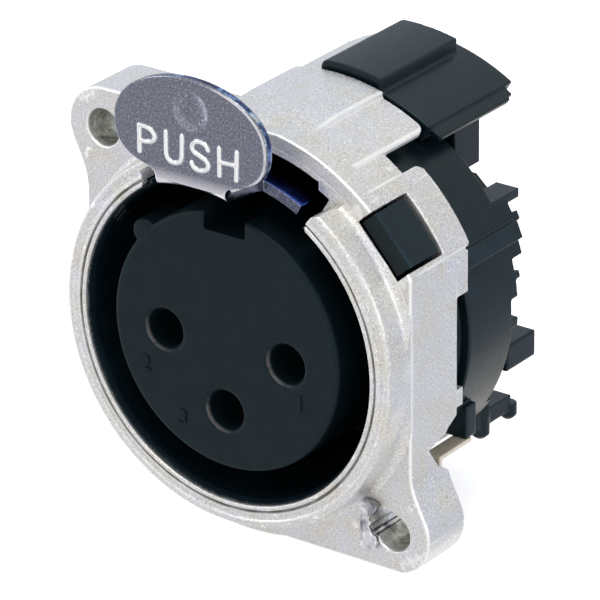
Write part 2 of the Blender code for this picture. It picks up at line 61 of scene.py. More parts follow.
# ------------------------------------------------------------------ dimensions (mm)
HOLE = 9.9
EAR_R = 2.42
EAR_HOLE_R = 1.10
EAR_DEPTH = 3.6
FLAT_R, FLAT_L = 11.1, 11.16
FLANGE_R = 12.5
Y_RING = -2.13
R_BORE = 9.8
R_RING = 11.2
BODY_DEPTH = 4.6
R_SHELL_IN = 10.65
R_LINER_OUT, R_LINER_IN = 10.0, 9.58
R_BARREL = 11.0
Y_BARREL0, Y_BARREL1 = 5.95, 10.85
R_INSERT, Y_INSERT = 7.75, -2.1
CONTACTS = {"contact_1": (4.15, -0.3), "contact_2": (-4.25, -0.3), "contact_3": (-0.1, -4.25)}
R_HOLE = 1.18
LATCH_R0, LATCH_R1 = 9.72, 10.36
TAB_Y, TAB_T = -5.0, 0.5
PIVOT_Y, PIVOT_Z = 7.6, 10.75

VIS = bpy.data.collections.new("visual")
TOOLS = bpy.data.collections.new("tools")
bpy.context.scene.collection.children.link(VIS)
bpy.context.scene.collection.children.link(TOOLS)


# ------------------------------------------------------------------ mesh helpers
def add(name, mesh, tool=True):
    ob = bpy.data.objects.new(name, mesh)
    (TOOLS if tool else VIS).objects.link(ob)
    return ob


def evaluated(ob):
    bpy.context.view_layer.update()
    dg = bpy.context.evaluated_depsgraph_get()
    return bpy.data.meshes.new_from_object(ob.evaluated_get(dg))


def baked(ob, name=None, tool=True):
    mesh = evaluated(ob)
    bm = bmesh.new()
    bm.from_mesh(mesh)
    bmesh.ops.remove_doubles(bm, verts=bm.verts, dist=1e-7)
    bm.transform(ob.matrix_world)
    bmesh.ops.recalc_face_normals(bm, faces=bm.faces)
    if bm.calc_volume(signed=True) < 0:
        bmesh.ops.reverse_faces(bm, faces=bm.faces)
    bm.to_mesh(mesh)
    bm.free()
    name = name or ob.name
    bpy.data.objects.remove(ob, do_unlink=True)
    mesh.name = name
    return add(name, mesh, tool)


def pol(r, deg):
    a = math.radians(deg)
    return (r * math.cos(a), r * math.sin(a))


def arc(r, a0, a1, n, cx=0.0, cz=0.0):
    return [(cx + r * math.cos(math.radians(a0 + (a1 - a0) * i / n)),
             cz + r * math.sin(math.radians(a0 + (a1 - a0) * i / n))) for i in range(n + 1)]


def bezier(p0, p1, p2, p3, n):
    out = []
    for i in range(1, n):
        t = i / n
        u = 1 - t
        out.append(tuple(u ** 3 * a + 3 * u * u * t * b + 3 * u * t * t * c + t ** 3 * d
                         for a, b, c, d in zip(p0, p1, p2, p3)))
    return out


def extruded(name, pts, depth, rot, loc, soft=0.0):
    cu = bpy.data.curves.new(name, 'CURVE')
    cu.dimensions = '2D'
    cu.fill_mode = 'BOTH'
    cu.extrude = (depth / 2 - soft) * MM
    if soft:
        cu.bevel_depth = soft * MM
        cu.bevel_resolution = 3
        cu.offset = -soft * MM
    sp = cu.splines.new('POLY')
    sp.points.add(len(pts) - 1)
    for p, (a, b) in zip(sp.points, pts):
        p.co = (a * MM, b * MM, 0.0, 1.0)
    sp.use_cyclic_u = True
    ob = bpy.data.objects.new(name, cu)
    TOOLS.objects.link(ob)
    ob.rotation_euler = rot
    ob.location = Vector(loc) * MM
    return baked(ob)


def slab(name, pts, y0, y1, soft=0.0):
    return extruded(name, pts, y1 - y0, (math.pi / 2, 0, 0), (0, (y0 + y1) / 2, 0), soft)


def slab_x(name, pts, x0, x1):
    return extruded(name, pts, x1 - x0, (math.pi / 2, 0, math.pi / 2), ((x0 + x1) / 2, 0, 0))


def slab_z(name, pts, z0, z1):
    return extruded(name, pts, z1 - z0, (0, 0, 0), (0, 0, (z0 + z1) / 2))


def sector(name, a0, a1, r0, r1, y0, y1, n=None):
    n = n or max(4, int(abs(a1 - a0) / 1.2))
    return slab(name, arc(r1, a0, a1, n) + arc(r0, a1, a0, n), y0, y1)


def block(name, x0, x1, y0, y1, z0, z1, spin=0.0):
    ob = slab(name, [(x0, z0), (x1, z0), (x1, z1), (x0, z1)], y0, y1)
    if spin:
        ob.rotation_euler = (0.0, -math.radians(spin), 0.0)
        ob = baked(ob)
    return ob


def turned(name, profile, steps=256, cx=0.0, cz=0.0, closed=False):
    bm = bmesh.new()
    vs = [bm.verts.new((r * MM, 0.0, -y * MM)) for r, y in profile]
    for a, b in zip(vs, vs[1:]):
        bm.edges.new((a, b))
    if closed:
        bm.edges.new((vs[-1], vs[0]))
    mesh = bpy.data.meshes.new(name)
    bm.to_mesh(mesh)
    bm.free()
    ob = add(name, mesh)
    m = ob.modifiers.new("turn", 'SCREW')
    m.axis = 'Z'
    m.angle = 2 * math.pi
    m.steps = steps
    m.render_steps = steps
    m.use_merge_vertices = True
    m.merge_threshold = 1e-7
    ob.rotation_euler = (math.pi / 2, 0.0, 0.0)
    ob.location = (cx * MM, 0.0, cz * MM)
    return baked(ob)


def rod_x(name, y, z, r, x0, x1, n=48):
    return slab_x(name, arc(r, 0, 360 - 360 / n, n - 1, y, z), x0, x1)


def rod_z(name, x, y, r, z0, z1, n=48):
    return slab_z(name, arc(r, 0, 360 - 360 / n, n - 1, x, y), z0, z1)


def tube(name, pts, radius, closed=False, res=4):
    """A round bead along points (x, y, z) in mm."""
    cu = bpy.data.curves.new(name, 'CURVE')
    cu.dimensions = '3D'
    cu.bevel_depth = radius * MM
    cu.bevel_resolution = res
    cu.use_fill_caps = True
    sp = cu.splines.new('POLY')
    sp.points.add(len(pts) - 1)
    for p, c in zip(sp.points, pts):
        p.co = (c[0] * MM, c[1] * MM, c[2] * MM, 1.0)
    sp.use_cyclic_u = closed
    ob = bpy.data.objects.new(name, cu)
    TOOLS.objects.link(ob)
    return baked(ob)


def ball(name, c, r, n=24):
    pts = [(r * math.sin(math.pi * i / n), c[1] - r * math.cos(math.pi * i / n)) for i in range(n + 1)]
    pts[0], pts[-1] = (0.0, c[1] - r), (0.0, c[1] + r)
    return turned(name, pts, 32, c[0], c[2])


def combine(base, joins=(), cuts=(), keep=(), within=()):
    name = base.name
    for op, obs in (('INTERSECT', within), ('UNION', joins), ('DIFFERENCE', cuts), ('UNION', keep)):
        for ob in obs:
            m = base.modifiers.new(ob.name, 'BOOLEAN')
            m.operation = op
            m.solver = 'MANIFOLD'
            m.object = ob
            base = baked(base, name)
    return base


def joined(name, obs):
    """Several closed bodies in one mesh; a voxel pass then melts them together."""
    bm = bmesh.new()
    for ob in obs:
        me = ob.data.copy()
        me.transform(ob.matrix_world)
        bm.from_mesh(me)
        bpy.data.meshes.remove(me)
    mesh = bpy.data.meshes.new(name)
    bm.to_mesh(mesh)
    bm.free()
    return add(name, mesh)


def cast(ob, name, voxel, smooth=3, tris=120000, tool=False):
    """Voxel pass that rounds every edge the way a casting or moulding has them."""
    m = ob.modifiers.new("voxel", 'REMESH')
    m.mode = 'VOXEL'
    m.voxel_size = voxel * MM
    m.adaptivity = 0.0
    if smooth:
        s = ob.modifiers.new("smooth", 'SMOOTH')
        s.factor = 0.5
        s.iterations = smooth
    mesh = evaluated(ob)
    n = sum(len(p.vertices) - 2 for p in mesh.polygons)
    tmp = add(name + "_dense", mesh)
    if n > tris:
        d = tmp.modifiers.new("thin", 'DECIMATE')
        d.ratio = tris / n
    out = evaluated(tmp)
    bpy.data.objects.remove(tmp, do_unlink=True)
    out.name = name
    out.materials.clear()
    out.shade_smooth()
    res = add(name, out, tool)
    print("CAST", name, n, "->", sum(len(p.vertices) - 2 for p in out.polygons))
    return res


def crisp(ob, name, mat, bevel=0.0, segments=3, angle=30.0, tool=False):
    """A machined or pressed piece: bevelled edges, smooth faces."""
    if bevel:
        m = ob.modifiers.new("edges", 'BEVEL')
        m.width = bevel * MM
        m.segments = segments
        m.limit_method = 'ANGLE'
        m.angle_limit = math.radians(angle)
        m.harden_normals = False
    mesh = evaluated(ob)
    mesh.name = name
    mesh.materials.clear()
    mesh.shade_smooth()
    mesh.set_sharp_from_angle(angle=math.radians(40))
    res = add(name, mesh, tool)
    if mat:
        mesh.materials.append(mat)
    return res


# ------------------------------------------------------------------ node helpers
def nodes_of(mat):
    mat.use_nodes = True
    nt = mat.node_tree
    return nt, nt.nodes["Principled BSDF"]


def new(nt, kind, **kw):
    n = nt.nodes.new(kind)
    for k, v in kw.items():
        setattr(n, k, v)
    return n


def noise(nt, coord, scale, detail=4.0, rough=0.5, distortion=0.0):
    n = new(nt, 'ShaderNodeTexNoise')
    n.inputs['Scale'].default_value = scale
    n.inputs['Detail'].default_value = detail
    n.inputs['Roughness'].default_value = rough
    n.inputs['Distortion'].default_value = distortion
    nt.links.new(coord, n.inputs['Vector'])
    return n


def voronoi(nt, coord, scale, feature='F1', rand=1.0):
    n = new(nt, 'ShaderNodeTexVoronoi', feature=feature)
    n.inputs['Scale'].default_value = scale
    n.inputs['Randomness'].default_value = rand
    nt.links.new(coord, n.inputs['Vector'])
    return n


def ramp(nt, fac, stops):
    n = new(nt, 'ShaderNodeValToRGB')
    cr = n.color_ramp
    while len(cr.elements) > 1:
        cr.elements.remove(cr.elements[-1])
    cr.elements[0].position, cr.elements[0].color = stops[0][0], (*stops[0][1], 1.0)
    for p, c in stops[1:]:
        e = cr.elements.new(p)
        e.color = (*c, 1.0)
    nt.links.new(fac, n.inputs['Fac'])
    return n


def remap(nt, val, a, b, c, d):
    n = new(nt, 'ShaderNodeMapRange')
    n.inputs['From Min'].default_value = a
    n.inputs['From Max'].default_value = b
    n.inputs['To Min'].default_value = c
    n.inputs['To Max'].default_value = d
    nt.links.new(val, n.inputs['Value'])
    return n.outputs['Result']


def math_node(nt, op, a, b):
    n = new(nt, 'ShaderNodeMath', operation=op)
    for i, v in enumerate((a, b)):
        if isinstance(v, (int, float)):
            n.inputs[i].default_value = v
        else:
            nt.links.new(v, n.inputs[i])
    return n.outputs[0]


def bump(nt, height, distance, strength=1.0, normal=None):
    n = new(nt, 'ShaderNodeBump')
    n.inputs['Strength'].default_value = strength
    n.inputs['Distance'].default_value = distance
    nt.links.new(height, n.inputs['Height'])
    if normal is not None:
        nt.links.new(normal, n.inputs['Normal'])
    return n.outputs['Normal']


def object_coord(nt):
    return new(nt, 'ShaderNodeTexCoord').outputs['Object']


def cavity(nt):
    """0 in hollows, 1 on raised edges, from the geometry's pointiness."""
    g = new(nt, 'ShaderNodeNewGeometry')
    return g.outputs['Pointiness']


def band(nt, val, a, b, soft):
    """1 where val lies between a and b, with soft ends."""
    lo = remap(nt, val, a - soft, a + soft, 0.0, 1.0)
    hi = remap(nt, val, b - soft, b + soft, 1.0, 0.0)
    return math_node(nt, 'MULTIPLY', lo, hi)


def across(nt, sep):
    """The position with the depth taken out, and its distance from the axis."""
    flat = new(nt, 'ShaderNodeCombineXYZ')
    nt.links.new(sep.outputs['X'], flat.inputs['X'])
    nt.links.new(sep.outputs['Z'], flat.inputs['Z'])
    ln = new(nt, 'ShaderNodeVectorMath', operation='LENGTH')
    nt.links.new(flat.outputs[0], ln.inputs[0])
    return flat.outputs[0], ln.outputs['Value']


def dot_with(nt, vec, v):
    n = new(nt, 'ShaderNodeVectorMath', operation='DOT_PRODUCT')
    nt.links.new(vec, n.inputs[0])
    n.inputs[1].default_value = v
    return n.outputs['Value']


def distance_to(nt, vec, v):
    n = new(nt, 'ShaderNodeVectorMath', operation='DISTANCE')
    nt.links.new(vec, n.inputs[0])
    n.inputs[1].default_value = v
    return n.outputs['Value']


def mixed(nt, fac, a, b):
    m = new(nt, 'ShaderNodeMix', data_type='RGBA')
    nt.links.new(fac, m.inputs['Factor'])
    for sock, val in ((m.inputs[6], a), (m.inputs[7], b)):
        if isinstance(val, tuple):
            sock.default_value = (*val, 1.0)
        else:
            nt.links.new(val, sock)
    return m.outputs[2]


# ------------------------------------------------------------------ materials
def mat_cast_nickel():
    mat = bpy.data.materials.new("nickel_cast")
    nt, b = nodes_of(mat)
    co = object_coord(nt)
    tint = noise(nt, co, 520, 3.0, 0.6)
    grain = noise(nt, co, 8200, 2.0, 0.7)
    base = ramp(nt, tint.outputs['Fac'], [(0.34, (0.735, 0.715, 0.65)), (0.50, (0.75, 0.745, 0.735)), (0.70, (0.76, 0.765, 0.80))])
    speck = ramp(nt, grain.outputs['Fac'], [(0.28, (0.62, 0.62, 0.64)), (0.43, (0.90, 0.90, 0.90)), (0.58, (1.0, 1.0, 1.0)), (0.70, (1.28, 1.27, 1.24))])
    mul = new(nt, 'ShaderNodeMix', data_type='RGBA', blend_type='MULTIPLY')
    mul.inputs['Factor'].default_value = 1.0
    nt.links.new(base.outputs['Color'], mul.inputs[6])
    nt.links.new(speck.outputs['Color'], mul.inputs[7])
    # painted glints: scattered bright specks for the plating's crystals catching the light, denser in some places
    flake = voronoi(nt, co, 3900)
    dot = remap(nt, flake.outputs['Distance'], 0.12, 0.24, 0.8, 0.0)
    crowd = remap(nt, tint.outputs['Fac'], 0.40, 0.60, 1.0, 0.35)
    bright = math_node(nt, 'MULTIPLY', dot, crowd)
    # painted highlight: bright bands on the ramps at the lower ends of the two steps above the latch
    sep = new(nt, 'ShaderNodeSeparateXYZ')
    nt.links.new(co, sep.inputs[0])
    flat, radius = across(nt, sep)
    a68 = math.radians(68.0)
    along_2 = dot_with(nt, flat, (math.sin(a68), 0.0, -math.cos(a68)))
    ramp_2 = band(nt, along_2, 0.00156, 0.00190, 0.00004)
    ramp_2 = math_node(nt, 'MULTIPLY', ramp_2, band(nt, sep.outputs['Y'], 0.0016, 0.0090, 0.0003))
    ramp_2 = math_node(nt, 'MULTIPLY', ramp_2, remap(nt, radius, 0.01212, 0.01216, 0.0, 1.0))
    ramp_1 = band(nt, sep.outputs['X'], 0.00322, 0.00350, 0.00004)
    ramp_1 = math_node(nt, 'MULTIPLY', ramp_1, band(nt, sep.outputs['Y'], 0.0024, 0.0090, 0.0005))
    ramp_1 = math_node(nt, 'MULTIPLY', ramp_1, remap(nt, sep.outputs['Z'], 0.0114, 0.0116, 0.0, 1.0))
    painted_light = math_node(nt, 'MULTIPLY', math_node(nt, 'MAXIMUM', ramp_1, ramp_2), remap(nt, grain.outputs['Fac'], 0.35, 0.6, 0.65, 1.0))
    # painted highlight on raised edges, kept off the wide tops of the two steps
    even_1 = math_node(nt, 'MULTIPLY', band(nt, sep.outputs['X'], -0.0024, 0.0032, 0.00008), remap(nt, sep.outputs['Z'], 0.0119, 0.0120, 0.0, 1.0))
    even_2 = math_node(nt, 'MULTIPLY', band(nt, along_2, -0.0017, 0.0015, 0.00008), remap(nt, radius, 0.01225, 0.01232, 0.0, 1.0))
    even = math_node(nt, 'MULTIPLY', math_node(nt, 'MAXIMUM', even_1, even_2), band(nt, sep.outputs['Y'], 0.0011, 0.00815, 0.00008))
    edge = math_node(nt, 'MULTIPLY', remap(nt, cavity(nt), 0.55, 0.61, 0.0, 0.75), math_node(nt, 'SUBTRACT', 1.0, even))
    # painted highlight along the front edge of the flange and ears
    outer = math_node(nt, 'MAXIMUM', remap(nt, radius, 0.01170, 0.01180, 0.0, 1.0),
                      remap(nt, sep.outputs['X'], (FLAT_R - 0.16) * MM, (FLAT_R - 0.12) * MM, 0.0, 1.0))
    rim = math_node(nt, 'MULTIPLY', band(nt, sep.outputs['Y'], 0.00002, 0.00017, 0.000015), outer)
    rim = math_node(nt, 'MULTIPLY', rim, 0.9)
    # painted highlight: a thin bright line along both ends of the frame round the window
    a40 = math.radians(40.15)
    along_f = math_node(nt, 'ABSOLUTE', dot_with(nt, flat, (math.sin(a40), 0.0, -math.cos(a40))), 0.0)
    line = math_node(nt, 'MULTIPLY', band(nt, along_f, 0.00256, 0.00269, 0.00002), band(nt, sep.outputs['Y'], 0.0009, 0.0058, 0.0003))
    line = math_node(nt, 'MULTIPLY', math_node(nt, 'MULTIPLY', line, remap(nt, radius, 0.0119, 0.0120, 0.0, 1.0)), 0.8)
    line = math_node(nt, 'MULTIPLY', line, remap(nt, sep.outputs['X'], 0.0060, 0.0062, 0.0, 1.0))
    lift = math_node(nt, 'MAXIMUM', bright, math_node(nt, 'MAXIMUM', edge, painted_light))
    lift = math_node(nt, 'MAXIMUM', lift, math_node(nt, 'MAXIMUM', rim, line))
    mix = new(nt, 'ShaderNodeMix', data_type='RGBA')
    mix.inputs[7].default_value = (1.0, 0.995, 0.97, 1.0)
    nt.links.new(lift, mix.inputs['Factor'])
    nt.links.new(mul.outputs[2], mix.inputs[6])
    # painted shade: darker tone in the creases
    tone = mixed(nt, remap(nt, cavity(nt), 0.462, 0.415, 0.0, 0.6), mix.outputs[2], (0.30, 0.295, 0.26))
    # painted shade in the groove behind the mouth's lip
    groove = math_node(nt, 'MULTIPLY', band(nt, radius, 0.010085, 0.010235, 0.00002), remap(nt, sep.outputs['Y'], -0.00180, -0.00186, 0.0, 1.0))
    groove = math_node(nt, 'MULTIPLY', groove, remap(nt, tint.outputs['Fac'], 0.38, 0.60, 0.85, 0.35))
    tone = mixed(nt, groove, tone, (0.24, 0.24, 0.21))
    # mottled walls of the two ear holes
    fold = new(nt, 'ShaderNodeVectorMath', operation='ABSOLUTE')
    nt.links.new(flat, fold.inputs[0])
    hole = remap(nt, distance_to(nt, fold.outputs[0], (HOLE * MM, 0.0, HOLE * MM)), 0.00119, 0.00113, 0.0, 1.0)
    hole = math_node(nt, 'MULTIPLY', hole, remap(nt, sep.outputs['Y'], 0.0002, 0.0006, 0.0, 1.0))
    patchy = noise(nt, co, 1500, 3.0, 0.65, 0.6)
    wall = ramp(nt, patchy.outputs['Fac'], [(0.34, (0.26, 0.27, 0.24)), (0.48, (0.52, 0.53, 0.47)), (0.56, (0.70, 0.71, 0.66)), (0.66, (0.95, 0.96, 0.93))])
    tone = mixed(nt, hole, tone, wall.outputs['Color'])
    nt.links.new(tone, b.inputs['Base Color'])
    b.inputs['Metallic'].default_value = 0.80
    nt.links.new(remap(nt, grain.outputs['Fac'], 0.3, 0.7, 0.30, 0.46), b.inputs['Roughness'])
    n1 = bump(nt, grain.outputs['Fac'], 0.000018, 0.8)
    n2 = bump(nt, flake.outputs['Distance'], 0.000020, 0.5, n1)
    nt.links.new(n2, b.inputs['Normal'])
    return mat


def mat_latch():
    """Polished sheet; the plate behind the ring is painted dark as shade, with a painted blue reflection streak along
    its front; the tab is neutral.
    """
    mat = bpy.data.materials.new("latch_polish")
    nt, b = nodes_of(mat)
    co = object_coord(nt)
    sep = new(nt, 'ShaderNodeSeparateXYZ')
    nt.links.new(co, sep.inputs[0])
    grain = noise(nt, co, 7600, 2.0, 0.75)
    plain = ramp(nt, grain.outputs['Fac'], [(0.28, (0.135, 0.148, 0.20)), (0.42, (0.215, 0.23, 0.28)), (0.56, (0.275, 0.29, 0.34)), (0.72, (0.60, 0.60, 0.66))])
    # along the depth: letters painted white as a highlight, tab and neck, then the plate with a painted blue reflection
    # streak along its front and painted shade behind
    along = ramp(nt, remap(nt, sep.outputs['Y'], -0.0055, 0.0005, 0.0, 1.0),
                 [(0.078, (1.0, 1.0, 1.0)), (0.082, (0.0, 0.0, 0.0)), (0.68, (0.0, 0.0, 0.0)), (0.70, (0.05, 0.11, 0.52)),
                  (0.78, (0.055, 0.135, 0.58)), (0.86, (0.015, 0.03, 0.15)), (0.92, (0.006, 0.008, 0.03)), (1.0, (0.004, 0.005, 0.012))])
    pick = ramp(nt, remap(nt, sep.outputs['Y'], -0.0055, 0.0005, 0.0, 1.0),
                [(0.074, (1.0, 1.0, 1.0)), (0.081, (0.0, 0.0, 0.0)), (0.67, (0.0, 0.0, 0.0)), (0.70, (1.0, 1.0, 1.0))])
    mix = new(nt, 'ShaderNodeMix', data_type='RGBA')
    nt.links.new(pick.outputs['Color'], mix.inputs['Factor'])
    nt.links.new(plain.outputs['Color'], mix.inputs[6])
    nt.links.new(along.outputs['Color'], mix.inputs[7])
    # painted highlight: the neck under the tab is brighter towards its lower edge
    neck_z = remap(nt, sep.outputs['Z'], 0.0112, 0.0104, 0.0, 1.0)
    neck_y = remap(nt, sep.outputs['Y'], -0.0018, -0.0022, 0.0, 1.0)
    neck_m = new(nt, 'ShaderNodeMix', data_type='RGBA')
    nt.links.new(math_node(nt, 'MULTIPLY', neck_z, neck_y), neck_m.inputs['Factor'])
    nt.links.new(mix.outputs[2], neck_m.inputs[6])
    neck_m.inputs[7].default_value = (0.90, 0.90, 0.92, 1.0)
    mix = neck_m
    # painted reflection streaks on the narrow side of the tab
    g = new(nt, 'ShaderNodeNewGeometry')
    gs = new(nt, 'ShaderNodeSeparateXYZ')
    nt.links.new(g.outputs['Normal'], gs.inputs[0])
    side = remap(nt, math_node(nt, 'ABSOLUTE', gs.outputs['Y'], 0.0), 0.35, 0.6, 1.0, 0.0)
    near = remap(nt, sep.outputs['Y'], -0.0047, -0.0043, 1.0, 0.0)
    inner = remap(nt, sep.outputs['Y'], -0.00492, -0.00482, 0.0, 1.0)
    streak = noise(nt, co, 640, 3.0, 0.6)
    rim = ramp(nt, streak.outputs['Fac'], [(0.34, (0.02, 0.025, 0.06)), (0.47, (0.05, 0.08, 0.22)), (0.54, (0.25, 0.42, 0.70)), (0.60, (0.75, 0.78, 0.85)),
                                           (0.68, (0.04, 0.05, 0.08))])
    on_side = math_node(nt, 'MULTIPLY', math_node(nt, 'MULTIPLY', side, near), inner)
    # painted highlight band just inside the tab's right-hand edge
    ax = math_node(nt, 'DIVIDE', math_node(nt, 'ABSOLUTE', sep.outputs['X'], 0.0), 0.00519)
    az = math_node(nt, 'ABSOLUTE', math_node(nt, 'SUBTRACT', sep.outputs['Z'], 0.0136), 0.0)
    f_up = math_node(nt, 'ADD', math_node(nt, 'POWER', ax, 2.0), math_node(nt, 'POWER', math_node(nt, 'DIVIDE', az, 0.00317), 2.0))
    f_lo = math_node(nt, 'ADD', math_node(nt, 'POWER', ax, 2.9), math_node(nt, 'POWER', math_node(nt, 'DIVIDE', az, 0.00278), 2.9))
    high = math_node(nt, 'GREATER_THAN', sep.outputs['Z'], 0.0136)
    oval_up = math_node(nt, 'MULTIPLY', band(nt, f_up, 0.905, 0.968, 0.010), high)
    oval_lo = math_node(nt, 'MULTIPLY', band(nt, f_lo, 0.88, 0.958, 0.012), math_node(nt, 'SUBTRACT', 1.0, high))
    oval = math_node(nt, 'MULTIPLY', math_node(nt, 'MAXIMUM', oval_up, oval_lo), remap(nt, sep.outputs['X'], 0.0002, 0.0026, 0.0, 1.0))
    oval = math_node(nt, 'MULTIPLY', oval, remap(nt, sep.outputs['Z'], 0.0112, 0.0118, 0.0, 1.0))
    oval = math_node(nt, 'MULTIPLY', oval, remap(nt, streak.outputs['Fac'], 0.36, 0.48, 0.45, 0.95))
    shiny = mixed(nt, oval, mix.outputs[2], (0.97, 0.97, 0.97))
    mix2 = new(nt, 'ShaderNodeMix', data_type='RGBA')
    nt.links.new(on_side, mix2.inputs['Factor'])
    nt.links.new(shiny, mix2.inputs[6])
    nt.links.new(rim.outputs['Color'], mix2.inputs[7])
    nt.links.new(mix2.outputs[2], b.inputs['Base Color'])
    b.inputs['Metallic'].default_value = 1.0
    nt.links.new(remap(nt, grain.outputs['Fac'], 0.3, 0.7, 0.10, 0.20), b.inputs['Roughness'])
    nt.links.new(bump(nt, grain.outputs['Fac'], 0.000007, 0.5), b.inputs['Normal'])
    return mat


def mat_bright(name, base, rough):
    mat = bpy.data.materials.new(name)
    nt, b = nodes_of(mat)
    co = object_coord(nt)
    tint = noise(nt, co, 900, 4.0, 0.6)
    col = ramp(nt, tint.outputs['Fac'], [(0.3, tuple(c * 0.86 for c in base)), (0.7, base)])
    nt.links.new(col.outputs['Color'], b.inputs['Base Color'])
    b.inputs['Metallic'].default_value = 1.0
    fine = noise(nt, co, 5200, 3.0, 0.65)
    nt.links.new(remap(nt, fine.outputs['Fac'], 0.3, 0.7, rough * 0.75, rough * 1.3), b.inputs['Roughness'])
    nt.links.new(bump(nt, fine.outputs['Fac'], 0.000008, 0.4), b.inputs['Normal'])
    return mat


def snap_zone(nt, co, colour):
    """Painted shade on the snap tab's front slope and a painted highlight along its front edge."""
    sep = new(nt, 'ShaderNodeSeparateXYZ')
    nt.links.new(co, sep.inputs[0])
    radius = across(nt, sep)[1]
    outside = remap(nt, radius, 0.01100, 0.01112, 0.0, 1.0)
    tone = ramp(nt, remap(nt, sep.outputs['Y'], 0.0, 0.0012, 0.0, 1.0),
                [(0.0, (0.12, 0.12, 0.12)), (0.44, (0.20, 0.20, 0.20)), (0.51, (2.6, 2.7, 2.9)), (0.58, (2.2, 2.3, 2.5)), (0.66, (1.25, 1.25, 1.3)), (1.0, (1.25, 1.25, 1.3))])
    m = new(nt, 'ShaderNodeMix', data_type='RGBA', blend_type='MULTIPLY')
    nt.links.new(outside, m.inputs['Factor'])
    nt.links.new(colour, m.inputs[6])
    nt.links.new(tone.outputs['Color'], m.inputs[7])
    return m.outputs[2]


def hole_zone(nt, co, colour):
    """Painted highlight on the lower left rims of the three contact holes."""
    sep = new(nt, 'ShaderNodeSeparateXYZ')
    nt.links.new(co, sep.inputs[0])
    flat = across(nt, sep)[0]
    total = None
    for cx, cz in CONTACTS.values():
        dist = distance_to(nt, flat, (cx * MM, 0.0, cz * MM))
        rim = band(nt, dist, (R_HOLE + 0.04) * MM, (R_HOLE + 0.17) * MM, 0.03 * MM)
        off = (cx * -0.76 + cz * -0.65) * MM
        side = remap(nt, dot_with(nt, flat, (-0.76, 0.0, -0.65)), off + 0.0004, off + 0.0012, 0.0, 1.0)
        m = math_node(nt, 'MULTIPLY', rim, side)
        total = m if total is None else math_node(nt, 'MAXIMUM', total, m)
    broken = noise(nt, co, 1900, 2.0, 0.6)
    total = math_node(nt, 'MULTIPLY', total, remap(nt, broken.outputs['Fac'], 0.38, 0.56, 0.25, 0.9))
    return mixed(nt, total, colour, (0.085, 0.078, 0.074))


def mat_black(name, base, rough, sheen, grain_scale, grain, tint, zone=None):
    mat = bpy.data.materials.new(name)
    nt, b = nodes_of(mat)
    co = object_coord(nt)
    cloud = noise(nt, co, 900, 4.0, 0.6)
    lo = tuple(base * 0.75 * t for t in tint)
    hi = tuple(base * 1.25 * t for t in tint)
    colour = ramp(nt, cloud.outputs['Fac'], [(0.3, lo), (0.7, hi)]).outputs['Color']
    if zone:
        colour = zone(nt, co, colour)
    nt.links.new(colour, b.inputs['Base Color'])
    fine = noise(nt, co, grain_scale, 2.0, 0.65)
    nt.links.new(remap(nt, fine.outputs['Fac'], 0.3, 0.7, rough - 0.06, rough + 0.06), b.inputs['Roughness'])
    nt.links.new(bump(nt, fine.outputs['Fac'], grain, 0.6), b.inputs['Normal'])
    b.inputs['IOR'].default_value = 1.5
    b.inputs['Specular IOR Level'].default_value = sheen
    b.inputs['Specular Tint'].default_value = (0.74, 0.95, 1.0, 1.0)
    return mat


def mat_tin():
    """Dull tin: tan on the run behind the flange, grey on the prongs at the front with painted highlight and shade
    patches.
    """
    mat = bpy.data.materials.new("strip_tinned")
    nt, b = nodes_of(mat)
    co = object_coord(nt)
    sep = new(nt, 'ShaderNodeSeparateXYZ')
    nt.links.new(co, sep.inputs[0])
    where = remap(nt, sep.outputs['Y'], 0.0026, 0.0034, 0.0, 1.0)
    tone = noise(nt, co, 2600, 4.0, 0.65)
    # painted highlight and shade patches on the prongs
    painted_light = noise(nt, co, 1150, 2.0, 0.5)
    grey = ramp(nt, painted_light.outputs['Fac'], [(0.36, (0.20, 0.20, 0.22)), (0.48, (0.50, 0.50, 0.53)), (0.60, (0.92, 0.92, 0.94))])
    tan = ramp(nt, tone.outputs['Fac'], [(0.3, (0.56, 0.50, 0.40)), (0.7, (0.72, 0.66, 0.55))])
    mix = new(nt, 'ShaderNodeMix', data_type='RGBA')
    nt.links.new(where, mix.inputs['Factor'])
    nt.links.new(grey.outputs['Color'], mix.inputs[6])
    nt.links.new(tan.outputs['Color'], mix.inputs[7])
    nt.links.new(mix.outputs[2], b.inputs['Base Color'])
    nt.links.new(remap(nt, where, 0.0, 1.0, 1.0, 0.35), b.inputs['Metallic'])
    nt.links.new(remap(nt, where, 0.0, 1.0, 0.14, 0.5), b.inputs['Roughness'])
    fine = noise(nt, co, 5200, 3.0, 0.6)
    nt.links.new(bump(nt, fine.outputs['Fac'], 0.000010, 0.5), b.inputs['Normal'])
    return mat


NICKEL = mat_cast_nickel()
CHROME = mat_latch()
INSERT = mat_black("insert_moulding", 0.0066, 0.52, 0.22, 7000, 0.000010, (0.22, 0.92, 1.40), hole_zone)
REAR = mat_black("rear_moulding", 0.0075, 0.33, 0.34, 6000, 0.000008, (0.35, 1.0, 1.5))
HOUSING = mat_black("housing_moulding", 0.0075, 0.33, 0.34, 6000, 0.000008, (0.35, 1.0, 1.5), snap_zone)
TIN = mat_tin()
STEEL = mat_bright("spring_bright", (0.62, 0.62, 0.64), 0.2)
SILVER = mat_bright("contact_plating", (0.62, 0.60, 0.54), 0.24)


